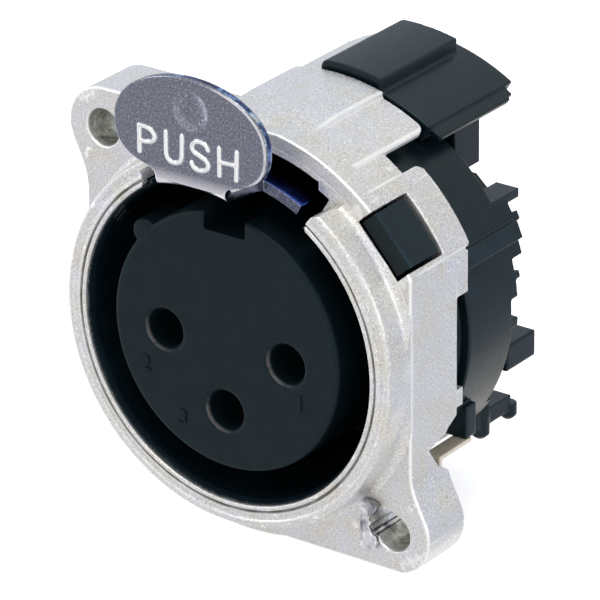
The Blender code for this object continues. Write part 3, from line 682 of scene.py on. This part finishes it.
# ------------------------------------------------------------------ shell
def flange_outline():
    a_flat = math.degrees(math.acos(FLAT_R / FLANGE_R))
    a_line = math.degrees(math.asin(12.32 / FLANGE_R))
    a_bot = math.degrees(math.asin(12.25 / FLANGE_R))
    b_flat = math.degrees(math.acos(FLAT_L / FLANGE_R))
    ear_end = 203.0
    pts = arc(FLANGE_R, a_flat, a_line, 44)
    pts += arc(EAR_R, 90.0, ear_end, 40, -HOLE, HOLE)
    e = pts[-1]
    pts += bezier(e, (e[0] + 0.35, e[1] - 0.85), (-FLAT_L - 0.02, 7.2), (-FLAT_L, 6.1), 20)
    pts += [(-FLAT_L, 6.1)]
    pts += arc(FLANGE_R, 180 + b_flat, 360 - a_bot - 0.001, 50)
    low = [(HOLE + EAR_R * math.cos(math.radians(a)), -HOLE + EAR_R * math.sin(math.radians(a)))
           for a in [-76 + (ear_end - 180 + 76) * i / 40 for i in range(41)]]
    pts += [(HOLE + 0.2, -12.25)] + low
    e = low[-1]
    pts += bezier(e, (e[0] - 0.35, e[1] + 0.85), (FLAT_R + 0.02, -7.2), (FLAT_R, -6.1), 20)
    pts += [(FLAT_R, -6.1)]
    return pts


def body_outline(r, fr, fl):
    a = math.degrees(math.acos(fr / r))
    b = math.degrees(math.acos(fl / r))
    return arc(r, a, 180 - b, 96) + arc(r, 180 + b, 360 - a, 96)


def turn_snap(ob):
    ob.rotation_euler = (0.0, math.radians(48.0), 0.0)
    return baked(ob)


def bore_tool(name):
    return turned(name, [
        (0.0, -4.0), (R_BORE + 0.15, -4.0), (R_BORE + 0.15, Y_RING - 0.02), (R_BORE + 0.10, Y_RING + 0.012),
        (R_BORE + 0.04, Y_RING + 0.045), (R_BORE + 0.01, Y_RING + 0.10), (R_BORE, Y_RING + 0.16), (R_BORE, -1.66),
        (R_LINER_OUT + 0.1, -1.60), (R_LINER_OUT + 0.1, 0.5), (R_SHELL_IN, 0.5), (R_SHELL_IN, 5.75),
        (R_BARREL + 0.1, 5.75), (R_BARREL + 0.1, 9.9), (0.0, 9.9)])


def slot_tools():
    slot_lo = sector("slot_lo", 58.4, 121.6, 8.5, 10.95, -0.2, 3.6)
    slot_hi = slab("slot_hi", [pol(8.6, 56)] + [(5.02, 8.0)] + [(5.02, 10.23)] + arc(11.36, 64.2, 115.8, 40)[1:-1]
                   + [(-5.02, 10.23)] + [(-5.02, 8.0)] + [pol(8.6, 124)], -0.3, 3.6)
    return [slot_lo, slot_hi]


def plan_block(name, centre, half, y0, y1, r_lo=0.25, r_hi=0.25, front=0.0):
    """A block seen from above its own middle: rounded rear corners, turned to an angle on the ring."""
    def corner(cx, cy, r, a0):
        return [(cx + r * math.cos(math.radians(a0 + 90 * i / 8)), cy + r * math.sin(math.radians(a0 + 90 * i / 8))) for i in range(9)]
    pts = [(-half, y0), (half, y0)] + corner(half - r_lo, y1 - r_lo, r_lo, 0) + corner(-half + r_hi, y1 - r_hi, r_hi, 90)
    ob = slab_z(name, pts, 9.0, 14.0)
    ob.rotation_euler = (0.0, math.radians(90.0 - centre), 0.0)
    return baked(ob)


def build_shell():
    flange = slab("flange", flange_outline(), 0.0, EAR_DEPTH, 0.13)
    rim_step = sector("rim_step", 26.5, 59.6, 12.4, 13.4, 1.45, 4.2)
    ear_tail = combine(slab("ear_tail", flange_outline(), EAR_DEPTH - 0.3, EAR_DEPTH + 0.5),
                       within=[block("ear_tail_room", -13.0, -6.2, 3.0, 4.5, 6.0, 13.0)])
    flange = combine(flange, joins=[ear_tail], cuts=[rim_step])
    body = slab("body", body_outline(12.2, FLAT_R - 0.02, FLAT_L - 0.02), 1.2, BODY_DEPTH)
    frame_s = combine(sector("frame", 26.0, 55.0, 10.0, 12.43, 1.0, 6.4), within=[plan_block("frame_plan", 40.15, 2.63, 0.5, 6.0, 0.3, 0.55)])
    tongue = block("tongue", 9.9, FLAT_R - 0.05, 3.0, 5.7, 3.1, 5.6)
    side_tab = block("side_tab", 10.0, FLAT_R - 0.1, 3.0, 5.3, -3.7, -2.6)
    level_2 = combine(sector("level_2", 57.0, 78.0, 10.9, 12.49, 1.3, 8.6), within=[plan_block("level_2_plan", 68.0, 1.84, 0.9, 8.35, 0.6, 0.1)],
                      cuts=[sector("level_2_under", 50.0, 74.6, 10.0, 12.12, BODY_DEPTH + 0.02, 9.0)])
    level_1 = turned("level_1", [
        (10.3, 0.8), (12.3, 0.8), (12.46, 1.3), (12.53, 1.75), (12.61, 2.25), (12.70, 2.85), (12.77, 3.5), (12.8, 4.2),
        (12.8, 8.4), (10.3, 8.4)], 360, closed=True)
    level_1 = combine(level_1, within=[slab("level_1_plan", [(3.44, 10.6)] + arc(13.4, 75.1, 101.2, 16) + [(-2.6, 10.6)], 0.5, 9.0)])
    spine = slab("spine", [(-1.08, 11.68)] + arc(12.6, 94.95, 101.85, 10) + [(-2.6, 11.68)], 8.1, 15.4)
    spine_corner = slab_z("spine_corner", [(-2.62, 13.3), (-2.52, 13.8), (-2.38, 14.3), (-2.15, 14.8), (-1.85, 15.2), (-1.5, 15.5),
                                           (-4.0, 15.5), (-4.0, 13.3)], 11.0, 13.5)
    spine = combine(spine, cuts=[spine_corner])
    bore = bore_tool("bore")
    tunnel = block("tunnel", -2.35, 2.75, 0.0, 9.0, 8.5, 11.95)
    rear_open = block("rear_open", -1.1, 2.9, 8.0, 9.2, 10.0, 12.1)
    holes = []
    for s in (-1, 1):
        holes.append(turned(f"hole_{s}", [
            (0.0, -1.0), (EAR_HOLE_R + 0.16, -1.0), (EAR_HOLE_R + 0.10, -0.01), (EAR_HOLE_R + 0.03, 0.08),
            (EAR_HOLE_R, 0.2), (EAR_HOLE_R, 5.0), (0.0, 5.0)], 96, s * HOLE, -s * HOLE))
    window = turn_snap(slab_x("window", [(-0.7, 11.42), (-0.05, 11.42), (0.05, 11.2), (0.05, 9.0), (3.55, 9.0), (3.55, 14.0),
                                         (-0.7, 14.0)], -1.2, 2.72))
    prong = block("prong", 8.2, 8.85, -1.0, 5.0, -10.8, -8.6)
    prong_room = block("prong_room", 8.2, 10.15, -1.0, 5.0, -9.9, -8.6)
    notch = slab_x("strip_notch", [(3.66, -4.6), (4.9, -3.9), (4.9, -13.0), (3.66, -13.0)], 5.0, 13.0)
    gap_plan = slab("strip_gap_plan", [(9.95, -4.4), (13.4, -4.4), (13.4, -7.0), (9.35, -7.0), (9.35, -5.6)], 1.0, 4.5)
    strip_gap = combine(slab_x("strip_gap", [(1.84, -5.19), (3.8, -4.66), (3.8, -7.15), (2.75, -6.5)], 9.0, 13.0), within=[gap_plan])
    shell = combine(flange, joins=[body, frame_s, tongue, side_tab, level_2, level_1],
                    cuts=[bore] + slot_tools() + [tunnel, rear_open] + holes + [window, prong, prong_room, notch, strip_gap])
    bumps = []
    for k, (sx, hx, hz) in enumerate(((-1, -HOLE, HOLE), (1, HOLE, -HOLE))):
        for j, (dx, dz) in enumerate(((1.0, -1.65), (0.9, 1.65), (-2.3, 0.0))):
            bx = hx + sx * dx
            bz = hz - dz if k else hz + dz
            bumps.append(turned(f"bump_{k}{j}", [(0.0, -0.13), (0.07, -0.125), (0.12, -0.10), (0.17, -0.05), (0.21, 0.0), (0.24, 0.2), (0.0, 0.2)],
                                24, bx, bz))
    shell_v = cast(joined("shell_all", [shell, spine] + bumps), "shell_cast", 0.062, 2, 155000, tool=True)

    ring = turned("ring", [
        (9.8, -1.64), (9.8, -2.0), (9.815, -2.06), (9.85, -2.105), (9.90, -2.126), (9.96, Y_RING), (10.01, -2.122), (10.05, -2.095),
        (10.08, -2.04), (10.10, -1.97), (10.125, -1.925), (10.16, -1.925), (10.185, -1.97), (10.205, -2.045), (10.235, -2.085),
        (10.28, -2.09), (10.35, -2.06), (10.43, -2.01), (10.50, -1.985), (10.60, -1.98), (10.66, -1.99), (10.70, -2.02), (10.73, -2.06),
        (10.77, -2.085), (10.84, -2.092), (10.95, -2.085), (11.04, -2.06), (11.10, -2.015), (11.145, -1.95), (11.175, -1.86),
        (11.19, -1.75), (11.2, -1.6), (11.2, -0.6), (11.215, -0.46), (11.26, -0.33), (11.33, -0.21), (11.43, -0.11), (11.55, -0.045),
        (11.68, -0.008), (11.68, 0.3), (10.1, 0.3), (10.1, -1.64)], 480, closed=True)
    right_end = [pol(8.0, 57.0), pol(9.6, 57.0), pol(9.72, 55.2), pol(9.78, 54.2), pol(9.795, 54.2), pol(9.85, 55.2), pol(9.93, 55.9),
                 pol(10.06, 56.5), pol(10.25, 56.9), pol(10.45, 57.0), pol(10.7, 56.9), pol(10.9, 56.5), pol(11.05, 55.9),
                 pol(11.15, 55.2), pol(11.21, 54.2), pol(13.0, 54.2)]
    left_end = [(-x, z) for x, z in reversed(right_end)]
    gap = slab("ring_gap", right_end + [(0.0, 19.0)] + left_end, -3.5, -0.02)
    trim_r = block("trim_r", FLAT_R + 0.01, 13.0, -3.0, 1.0, -13.0, 13.0)
    trim_l = block("trim_l", -13.0, -FLAT_L - 0.01, -1.2, 1.0, -13.0, 13.0)
    window_r = turn_snap(slab_x("window_r", [(-0.7, 11.42), (-0.05, 11.42), (0.05, 11.2), (0.05, 9.0), (3.55, 9.0), (3.55, 14.0),
                                             (-0.7, 14.0)], -1.2, 2.72))
    ring = combine(ring, cuts=[trim_r, trim_l, gap, window_r] + slot_tools())
    shell_one = joined("shell_visual", [shell_v, ring])
    TOOLS.objects.unlink(shell_one)
    VIS.objects.link(shell_one)
    shell_one.data.shade_smooth()
    shell_one.data.set_sharp_from_angle(angle=math.radians(42))
    shell_one.data.materials.append(NICKEL)
    return shell_one


# ------------------------------------------------------------------ housing
def build_housing():
    h = turned("housing", [
        (9.745, -1.985), (9.785, -1.985), (9.785, -1.62), (R_LINER_OUT, -1.62), (R_LINER_OUT, 0.62), (R_SHELL_IN - 0.06, 0.62),
        (R_SHELL_IN - 0.06, 5.4), (10.3, 5.4), (10.3, Y_BARREL0), (R_BARREL - 0.06, Y_BARREL0),
        (R_BARREL, Y_BARREL0 + 0.06), (R_BARREL, Y_BARREL1), (7.1, Y_BARREL1), (7.1, 9.7), (R_LINER_IN, 9.7),
        (R_LINER_IN, -1.5)], closed=True)
    snap = turn_snap(slab_x("snap", [(0.1, 9.8), (0.1, 11.5), (0.18, 11.85), (0.4, 12.1), (0.6, 12.2), (3.2, 12.28), (3.38, 12.2),
                                     (3.45, 11.95), (3.45, 9.8)], -1.04, 2.5))
    rib = block("rib", 10.5, 11.35, 6.3, 11.85, -0.44, 0.62, 23.0)

    def tooth(name, a0, a1, y1, r1=R_BARREL):
        return sector(name, a0, a1, 9.9, r1, 10.6, y1)
    teeth = [block("tooth_a", 7.75, 9.3, 10.6, 13.35, 5.62, 6.2), tooth("tooth_a2", 28.0, 32.6, 12.15), tooth("tooth_b", 25.4, 28.3, 12.6), tooth("tooth_b2", 21.8, 25.6, 12.1),
             tooth("tooth_c", 16.0, 20.2, 11.85), tooth("tooth_d", 9.6, 12.0, 11.25)]
    latch_way = block("latch_way", -2.55, 2.85, -2.5, 9.2, 8.6, 12.0)
    latch_wide = sector("latch_way_wide", 57.6, 122.4, 9.0, 10.75, -2.5, 3.3)
    rim_notch = sector("rim_notch", -2.0, 4.5, 9.0, 12.0, 10.2, 11.6)
    rim_low = sector("rim_low", -33.0, -5.0, 9.0, 12.0, 10.25, 11.6)
    corner = block("corner", 8.75, 10.5, 6.4, 7.4, -6.48, -4.5)
    h = combine(h, joins=[rib, corner] + teeth, cuts=[latch_way, latch_wide, rim_notch, rim_low])
    snap_v = cast(snap, "snap_cast", 0.05, 2, 16000, tool=True)
    h_v = cast(h, "housing_cast", 0.072, 2, 120000, tool=True)
    one = joined("housing_visual", [h_v, snap_v])
    TOOLS.objects.unlink(one)
    VIS.objects.link(one)
    one.data.shade_smooth()
    one.data.materials.append(HOUSING)
    return one


# ------------------------------------------------------------------ insert
def build_insert():
    ins = turned("insert", [
        (0.0, Y_INSERT), (R_INSERT - 0.24, Y_INSERT), (R_INSERT - 0.12, Y_INSERT + 0.03), (R_INSERT - 0.04, Y_INSERT + 0.10),
        (R_INSERT, Y_INSERT + 0.24), (R_INSERT, 8.2), (9.3, 8.2), (9.3, 9.6), (6.95, 9.6), (6.95, 11.3), (0.0, 11.3)])
    keyway = slab("keyway", [(-1.3, 9.0), (-1.35, 6.6), (1.45, 6.6), (1.4, 9.0)], -3.0, 5.5)
    lobe = turned("lobe", [(0.0, Y_INSERT + 0.02), (0.62, Y_INSERT + 0.02), (0.72, Y_INSERT + 0.08), (0.78, Y_INSERT + 0.2), (0.8, 0.6),
                           (0.0, 0.6)], 48, -5.62, 5.3)
    cuts = [keyway]
    for nm, (cx, cz) in CONTACTS.items():
        cuts.append(turned("b_" + nm, [
            (0.0, -3.0), (R_HOLE + 0.26, -3.0), (R_HOLE + 0.26, Y_INSERT), (R_HOLE + 0.06, Y_INSERT + 0.12), (R_HOLE, Y_INSERT + 0.3),
            (R_HOLE, 8.6), (0.56, 8.6), (0.56, 12.0), (0.0, 12.0)], 64, cx, cz))
    ins = combine(ins, joins=[lobe], cuts=cuts)
    ins_v = cast(ins, "insert_cast", 0.075, 2, 90000, tool=True)
    # contact numbers, raised a little from the face
    extra = [ins_v]
    for txt, x, z in (("2", -5.59, -2.73), ("3", -3.04, -5.48), ("1", 5.12, -2.45)):
        cu = bpy.data.curves.new("num_" + txt, 'FONT')
        cu.body = txt
        cu.size = 1.35 * MM
        cu.extrude = 0.05 * MM
        cu.bevel_depth = 0.018 * MM
        cu.bevel_resolution = 1
        cu.align_x, cu.align_y = 'CENTER', 'CENTER'
        ob = bpy.data.objects.new("num_" + txt, cu)
        TOOLS.objects.link(ob)
        ob.rotation_euler = (math.pi / 2, 0, 0)
        ob.location = Vector((x, Y_INSERT - 0.0, z)) * MM
        extra.append(baked(ob))
    one = joined("insert_visual", extra)
    TOOLS.objects.unlink(one)
    VIS.objects.link(one)
    one.data.shade_smooth()
    one.data.set_sharp_from_angle(angle=math.radians(50))
    one.data.materials.append(INSERT)
    return one


# ------------------------------------------------------------------ latch
def tab_outline(n=140):
    """Oval thumb tab, squarer below, with fillets into the neck."""
    pts = []
    for i in range(n):
        a = math.radians(-56.0 + (236.0 + 56.0) * i / (n - 1))
        c, s = math.cos(a), math.sin(a)
        e, h = (2.0, 3.17) if s > 0 else (2.9, 2.78)
        pts.append((5.19 * math.copysign(abs(c) ** (2 / e), c), 13.6 + h * math.copysign(abs(s) ** (2 / e), s)))
    a, b = pts[-1], pts[0]
    left = bezier(a, (a[0] + 0.5, a[1] - 0.16), (-2.52, 10.98), (-2.44, 10.5), 14)
    right = bezier((2.30, 10.5), (2.36, 10.92), (b[0] - 0.5, b[1] - 0.16), b, 14)
    return pts + left + [(-2.44, 10.5)] + [(-2.3, 10.42), (2.2, 10.42)] + [(2.30, 10.5)] + right


def strokes():
    """The word PUSH as round beads, in the tab's plane (x, z)."""
    def ease(pts, n=8):
        out = []
        p = [pts[0]] + pts + [pts[-1]]
        for k in range(1, len(p) - 2):
            for i in range(n):
                t = i / n
                out.append(tuple(0.5 * (2 * p[k][j] + (p[k + 1][j] - p[k - 1][j]) * t
                                        + (2 * p[k - 1][j] - 5 * p[k][j] + 4 * p[k + 1][j] - p[k + 2][j]) * t * t
                                        + (3 * p[k][j] - p[k - 1][j] - 3 * p[k + 1][j] + p[k + 2][j]) * t ** 3) for j in (0, 1)))
        return out + [pts[-1]]
    lines = [
        [(-3.42, 11.64), (-3.41, 13.46)],
        ease([(-3.41, 13.44), (-2.98, 13.43), (-2.6, 13.3), (-2.36, 12.94), (-2.52, 12.58), (-2.9, 12.42), (-3.4, 12.4)]),
        ease([(-1.6, 13.46), (-1.6, 12.6), (-1.58, 11.95), (-1.4, 11.6), (-1.06, 11.48), (-0.72, 11.62), (-0.55, 11.98), (-0.52, 12.7),
              (-0.5, 13.46)]),
        ease([(1.26, 12.96), (1.1, 13.26), (0.7, 13.38), (0.32, 13.24), (0.17, 12.92), (0.34, 12.6), (0.72, 12.42), (1.1, 12.22),
              (1.27, 11.9), (1.08, 11.56), (0.7, 11.42), (0.3, 11.54), (0.13, 11.84)]),
        [(2.01, 11.46), (2.01, 13.32)],
        [(3.14, 11.44), (3.2, 13.36)],
        [(2.01, 12.38), (3.16, 12.44)],
    ]
    return [[(x, 12.46 + (z - 12.44) * 0.86) for x, z in line] for line in lines]


def build_latch():
    outline = tab_outline()
    tab = slab("tab", outline, TAB_Y, TAB_Y + TAB_T + 0.04, 0.10)
    dimple = ball("dimple", (0.06, TAB_Y - 3.97, 14.9), 4.15, 96)
    tab = combine(tab, cuts=[dimple])
    # bent neck and shelf: a sheet profile turned about the axis, trimmed to the neck's width
    neck = turned("neck", [
        (11.3, -4.99), (10.80, -4.99), (10.62, -4.965), (10.46, -4.90), (10.33, -4.79), (10.24, -4.63), (10.19, -4.42),
        (10.16, -4.1), (9.74, -1.2), (10.30, -1.2), (10.68, -4.1), (10.70, -4.28), (10.76, -4.4), (10.86, -4.47), (11.3, -4.48)],
        320, closed=True)
    width = block("width", -2.42, 2.28, -5.3, -1.0, 9.0, 11.2)
    m = neck.modifiers.new("trim", 'BOOLEAN')
    m.operation = 'INTERSECT'
    m.solver = 'MANIFOLD'
    m.object = width
    neck = baked(neck)
    plate = sector("plate", 90 - 27.6, 90 + 27.6, LATCH_R0, LATCH_R1, -1.4, 2.7)
    arm = block("arm", -2.0, 2.2, 2.0, PIVOT_Y - 0.2, 9.95, 10.55)
    hook = slab_x("hook", [(4.4, 10.2), (4.4, 9.25), (4.9, 8.95), (5.6, 9.3), (6.3, 10.2)], -1.5, 1.5)
    knuckle = rod_x("knuckle", PIVOT_Y, PIVOT_Z, 0.78, -2.1, 2.35)
    pin_way = rod_x("pin_way", PIVOT_Y, PIVOT_Z, 0.47, -4.0, 4.0)
    rear = combine(plate, joins=[arm, hook, knuckle], cuts=[pin_way])
    beads = []
    for i, s in enumerate(strokes()):
        pts = [(a, TAB_Y - 0.01, b) for a, b in s]
        beads.append(tube(f"stroke_{i}", pts, 0.128, res=5))
        for e in (pts[0], pts[-1]):
            beads.append(ball(f"end_{i}", e, 0.128, 12))
    one = cast(joined("latch_all", [tab, neck, rear] + beads), "latch_visual", 0.04, 2, 175000)
    one.data.materials.append(CHROME)
    return one


# ------------------------------------------------------------------ rear cover, guide, strip
def build_cover():
    pad = slab("pad", arc(13.25, 76.6, 92.6, 24) + [(-0.74, 13.2), (-0.88, 13.1), (-0.97, 12.95), (-1.0, 12.75), (-1.0, 11.3), (3.08, 11.3)],
               8.65, 16.3)
    wing = slab("wing", arc(12.47, 59.4, 80.0, 24) + arc(11.28, 80.0, 59.4, 24), 8.75, 17.1, 0.12)
    lip = slab("lip", arc(12.33, 56.6, 60.4, 8) + arc(11.92, 60.4, 56.6, 8), 9.0, 16.45, 0.1)
    lip_low = slab("lip_low", arc(12.33, 55.6, 57.0, 8) + arc(11.92, 57.0, 55.6, 8), 9.0, 16.0, 0.1)
    web = slab("web", [(6.3, 6.9), (6.3, 9.7), (5.2, 10.75), (-0.64, 11.6), (-0.64, 10.0), (-6.0, 10.0), (-6.0, 6.9)], 11.3, 13.8)
    one = cast(joined("cover_all", [pad, wing, lip, lip_low, web]), "cover_visual", 0.07, 3, 60000)
    one.data.materials.append(REAR)
    return one


def build_guide():
    pts = arc(9.2, -140.0, -40.0, 48) + [(8.2, -3.0), (8.2, 4.8), (6.4, 6.4), (-6.4, 6.4), (-8.2, 4.8), (-8.2, -3.0)]
    guide = slab("guide", pts, 11.45, 13.4)
    wedge = slab_x("wedge", [(11.6, -2.9), (14.5, -2.9), (14.5, -4.5), (11.6, -4.5)], 7.0, 9.75)
    beam = block("beam", 6.3, 7.62, 11.7, 15.25, -8.95, -7.9)
    arm = block("post_arm", 3.9, 7.5, 11.55, 13.2, -8.9, -5.4)
    p1 = rod_z("p1", 7.25, 12.6, 0.56, -9.45, -8.1)
    p2 = rod_z("p2", 7.28, 15.45, 0.52, -9.32, -8.5)
    b1 = ball("b1", (7.25, 12.6, -9.2), 0.55)
    b2 = ball("b2", (7.28, 15.45, -9.1), 0.51)
    cuts = []
    for nm, (cx, cz) in CONTACTS.items():
        cuts.append(turned("g_" + nm, [(0.0, 10.0), (0.56, 10.0), (0.56, 15.0), (0.0, 15.0)], 32, cx, cz))
    guide = combine(guide, cuts=cuts)
    one = cast(joined("guide_all", [guide, wedge, beam, arm, p1, p2, b1, b2]), "guide_visual", 0.08, 2, 60000)
    one.data.materials.append(REAR)
    return one


def build_strip():
    parts = [
        block("run", 9.47, 10.5, 3.72, 6.93, -6.78, -6.52), block("hook_up", 9.55, 10.3, 6.65, 6.9, -6.7, -5.4),
        block("leg", 9.5, 10.47, 3.75, 4.04, -8.4, -6.55), block("jog", 7.97, 10.44, 3.77, 4.02, -8.5, -7.7),
        block("drop", 7.95, 8.68, 3.74, 4.05, -10.65, -8.4), block("web", 8.28, 8.54, -0.4, 3.9, -10.6, -8.7),
        tube("bar_edge", [(8.06, -0.33, -8.25), (8.05, -0.36, -9.6), (8.06, -0.33, -11.1)], 0.11),
        block("bar", 8.0, 8.36, -0.36, -0.08, -11.15, -8.15)]
    parts.append(slab("claw_t", [(8.2, -8.95), (8.15, -8.14), (8.52, -8.10), (8.92, -8.2), (9.1, -8.36), (9.0, -8.6), (8.78, -8.95),
                                 (8.56, -9.16), (8.4, -9.2)], -0.40, -0.08, 0.08))
    parts.append(slab("claw_b", [(8.1, -11.17), (8.2, -9.72), (8.46, -9.66), (8.62, -9.86), (8.72, -10.14), (8.96, -10.22), (9.06, -10.4),
                                 (9.0, -10.95), (8.82, -11.17)], -0.42, -0.07, 0.1))
    for k, (z, rr) in enumerate(((-9.05, 0.09), (-9.5, 0.12), (-9.98, 0.09), (-10.38, 0.13))):
        parts.append(tube(f"ridge_{k}", [(8.55, -0.36, z), (8.55, 1.2, z - 0.03), (8.55, 3.8, z - 0.08)], rr))
    one = cast(joined("strip_all", parts), "strip_visual", 0.036, 2, 90000)
    one.data.materials.append(TIN)
    return one


def build_contact(nm):
    cx, cz = CONTACTS[nm]
    c = turned("c_" + nm, [
        (0.0, 0.5), (0.98, 0.5), (1.05, 0.58), (1.08, 0.72), (1.08, 8.5), (0.46, 8.5), (0.46, 17.2), (0.38, 17.42), (0.26, 17.6), (0.0, 17.6)],
        64, cx, cz)
    way = turned("w_" + nm, [(0.0, -1.0), (0.92, -1.0), (0.92, 0.5), (0.84, 0.62), (0.78, 0.8), (0.78, 5.8), (0.0, 6.2)], 64, cx, cz)
    slit = block("s_" + nm, cx - 0.12, cx + 0.12, -1.0, 3.6, cz - 2.0, cz + 2.0)
    return crisp(combine(c, cuts=[way, slit]), nm + "_visual", SILVER, 0.03, 2)


def build_pin():
    pin = turned("pin", [(0.0, -2.3), (0.3, -2.3), (0.37, -2.26), (0.4, -2.18), (0.4, 2.48), (0.37, 2.56), (0.3, 2.6), (0.0, 2.6)], 64)
    pin.rotation_euler = (0.0, 0.0, -math.pi / 2)
    pin.location = (0.0, PIVOT_Y * MM, PIVOT_Z * MM)
    return crisp(baked(pin), "pin_visual", STEEL)


# ------------------------------------------------------------------ build
shell_v = build_shell()
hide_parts("shell")
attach(shell_v, "socket")

housing_v = build_housing()
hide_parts("housing")
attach(housing_v, "socket")

insert_v = build_insert()
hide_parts("contact_insert")
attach(insert_v, "socket")

latch_v = build_latch()
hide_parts("latch_lever")
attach(latch_v, "latch")

cover_v = build_cover()
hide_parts("rear_cover")
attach(cover_v, "socket")

guide_v = build_guide()
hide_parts("pin_guide")
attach(guide_v, "socket")

strip_v = build_strip()
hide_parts("ground_strip")
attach(strip_v, "socket")

for nm in CONTACTS:
    contact_v = build_contact(nm)
    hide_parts(nm)
    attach(contact_v, "socket")

pin_v = build_pin()
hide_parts("latch_pin")
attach(pin_v, "socket")

for name, mat in (("latch_spring", STEEL), ("bore_ground_spring", STEEL)):
    ob = NODES[name]
    for s in ob.material_slots:
        s.material = mat
    if not ob.material_slots:
        ob.data.materials.append(mat)

for ob in list(TOOLS.objects):
    bpy.data.objects.remove(ob, do_unlink=True)

# ------------------------------------------------------------------ studio
def plane(name, size, z):
    bm = bmesh.new()
    bmesh.ops.create_grid(bm, x_segments=8, y_segments=8, size=size)
    me = bpy.data.meshes.new(name)
    bm.to_mesh(me)
    bm.free()
    ob = bpy.data.objects.new(name, me)
    bpy.context.scene.collection.objects.link(ob)
    ob.location = (0, 0, z)
    return ob


floor = plane("floor", 1.2, -0.01262)
fm = bpy.data.materials.new("floor_white")
nt, b = nodes_of(fm)
fn = noise(nt, object_coord(nt), 40, 2.0, 0.5)
nt.links.new(ramp(nt, fn.outputs['Fac'], [(0.3, (0.90, 0.90, 0.90)), (0.7, (0.92, 0.92, 0.92))]).outputs['Color'], b.inputs['Base Color'])
b.inputs['Roughness'].default_value = 0.9
b.inputs['Emission Color'].default_value = (1.0, 1.0, 1.0, 1.0)
b.inputs['Emission Strength'].default_value = 0.55
floor.data.materials.append(fm)
floor.visible_glossy = False


def area(name, loc, target, size, power, color=(1, 1, 1), size_y=None):
    li = bpy.data.lights.new(name, 'AREA')
    li.energy = power
    li.color = color
    li.size = size
    if size_y:
        li.shape = 'RECTANGLE'
        li.size_y = size_y
    ob = bpy.data.objects.new(name, li)
    bpy.context.scene.collection.objects.link(ob)
    ob.location = loc
    d = Vector(target) - Vector(loc)
    ob.rotation_euler = d.to_track_quat('-Z', 'Y').to_euler()
    return ob


area("key_top", (0.06, -0.10, 0.44), (0, 0, 0), 0.20, 0.75, (1.0, 0.99, 0.97))
area("left_front", (-0.36, -0.20, 0.20), (0, 0, 0), 0.16, 0.22, (0.97, 0.98, 1.0))
area("right_side", (0.42, 0.06, 0.12), (0, 0, 0), 0.18, 0.22, (0.92, 0.96, 1.0))

world = bpy.data.worlds.new("studio")
scene = bpy.context.scene
scene.world = world
world.use_nodes = True
wn = world.node_tree
bg = wn.nodes["Background"]
direction = new(wn, 'ShaderNodeTexCoord').outputs['Generated']


def patch(centre, inner, outer):
    """1 inside a round patch of sky about a direction, 0 outside, soft between (degrees)."""
    v = Vector(centre).normalized()
    dot = new(wn, 'ShaderNodeVectorMath', operation='DOT_PRODUCT')
    dot.inputs[1].default_value = v
    wn.links.new(direction, dot.inputs[0])
    m = new(wn, 'ShaderNodeMapRange', interpolation_type='SMOOTHSTEP')
    m.inputs['From Min'].default_value = math.cos(math.radians(outer))
    m.inputs['From Max'].default_value = math.cos(math.radians(inner))
    wn.links.new(dot.outputs['Value'], m.inputs['Value'])
    return m.outputs['Result']


def blend(fac, a, b):
    m = new(wn, 'ShaderNodeMix', data_type='RGBA')
    wn.links.new(fac, m.inputs['Factor'])
    for sock, val in ((m.inputs[6], a), (m.inputs[7], b)):
        if isinstance(val, tuple):
            sock.default_value = (*val, 1.0)
        else:
            wn.links.new(val, sock)
    return m.outputs[2]


up = patch((0, 0, 1), 20, 100)
sky = blend(up, (0.72, 0.72, 0.75), (0.80, 0.81, 0.83))
sky = blend(patch((0.30, -0.85, 0.20), 35, 85), sky, (0.92, 0.92, 0.93))
sky = blend(patch((-0.92, -0.05, -0.38), 14, 36), sky, (1.35, 1.35, 1.38))
sky = blend(patch((0.50, 0.75, -0.15), 15, 60), sky, (0.56, 0.59, 0.68))
sky = blend(patch((0.35, 0.70, 0.60), 10, 42), sky, (0.67, 0.66, 0.635))
sky = blend(patch((0.043, 0.737, 0.669), 7, 19), sky, (0.90, 0.90, 0.89))
sky = blend(patch((0.15, 0.737, -0.65), 7, 20), sky, (1.15, 1.13, 1.08))
sky = blend(patch((-0.307, 0.737, -0.60), 8, 22), sky, (1.15, 1.13, 1.08))
sky = blend(patch((-0.55, 0.75, 0.40), 8, 40), sky, (0.74, 0.79, 0.88))
sky = blend(patch((-0.535, -0.737, -0.413), 12, 25), sky, (0.66, 0.65, 0.69))
wn.links.new(sky, bg.inputs['Color'])
bg.inputs['Strength'].default_value = 1.0

scene.view_settings.view_transform = 'Standard'
scene.view_settings.look = 'None'
scene.view_settings.exposure = 0.0

# ------------------------------------------------------------------ camera
A, E, ROLL = math.radians(36.0), math.radians(24.4), math.radians(-0.56)
DIST, PX, OX, OZ = 300.0, 17.97, 224.64, 342.94
d = Vector((math.sin(A) * math.cos(E), -math.cos(A) * math.cos(E), math.sin(E)))
r0 = Vector((math.cos(A), math.sin(A), 0.0))
u0 = Vector((-math.sin(A) * math.sin(E), math.cos(A) * math.sin(E), math.cos(E)))
r = r0 * math.cos(ROLL) + u0 * math.sin(ROLL)
u = r0 * -math.sin(ROLL) + u0 * math.cos(ROLL)
c = d * DIST - r * ((OX - 300) / PX) + u * ((OZ - 300) / PX) + Vector((0, Y_RING, 0))
cam_data = bpy.data.cameras.new("camera")
cam_data.sensor_width = 36.0
cam_data.lens = PX * DIST / 600.0 * 36.0
cam_data.clip_start = 0.01
cam_data.clip_end = 10.0
cam = bpy.data.objects.new("camera", cam_data)
scene.collection.objects.link(cam)
cam.matrix_world = Matrix(((r.x, u.x, d.x, c.x * MM), (r.y, u.y, d.y, c.y * MM), (r.z, u.z, d.z, c.z * MM), (0, 0, 0, 1)))
scene.camera = cam
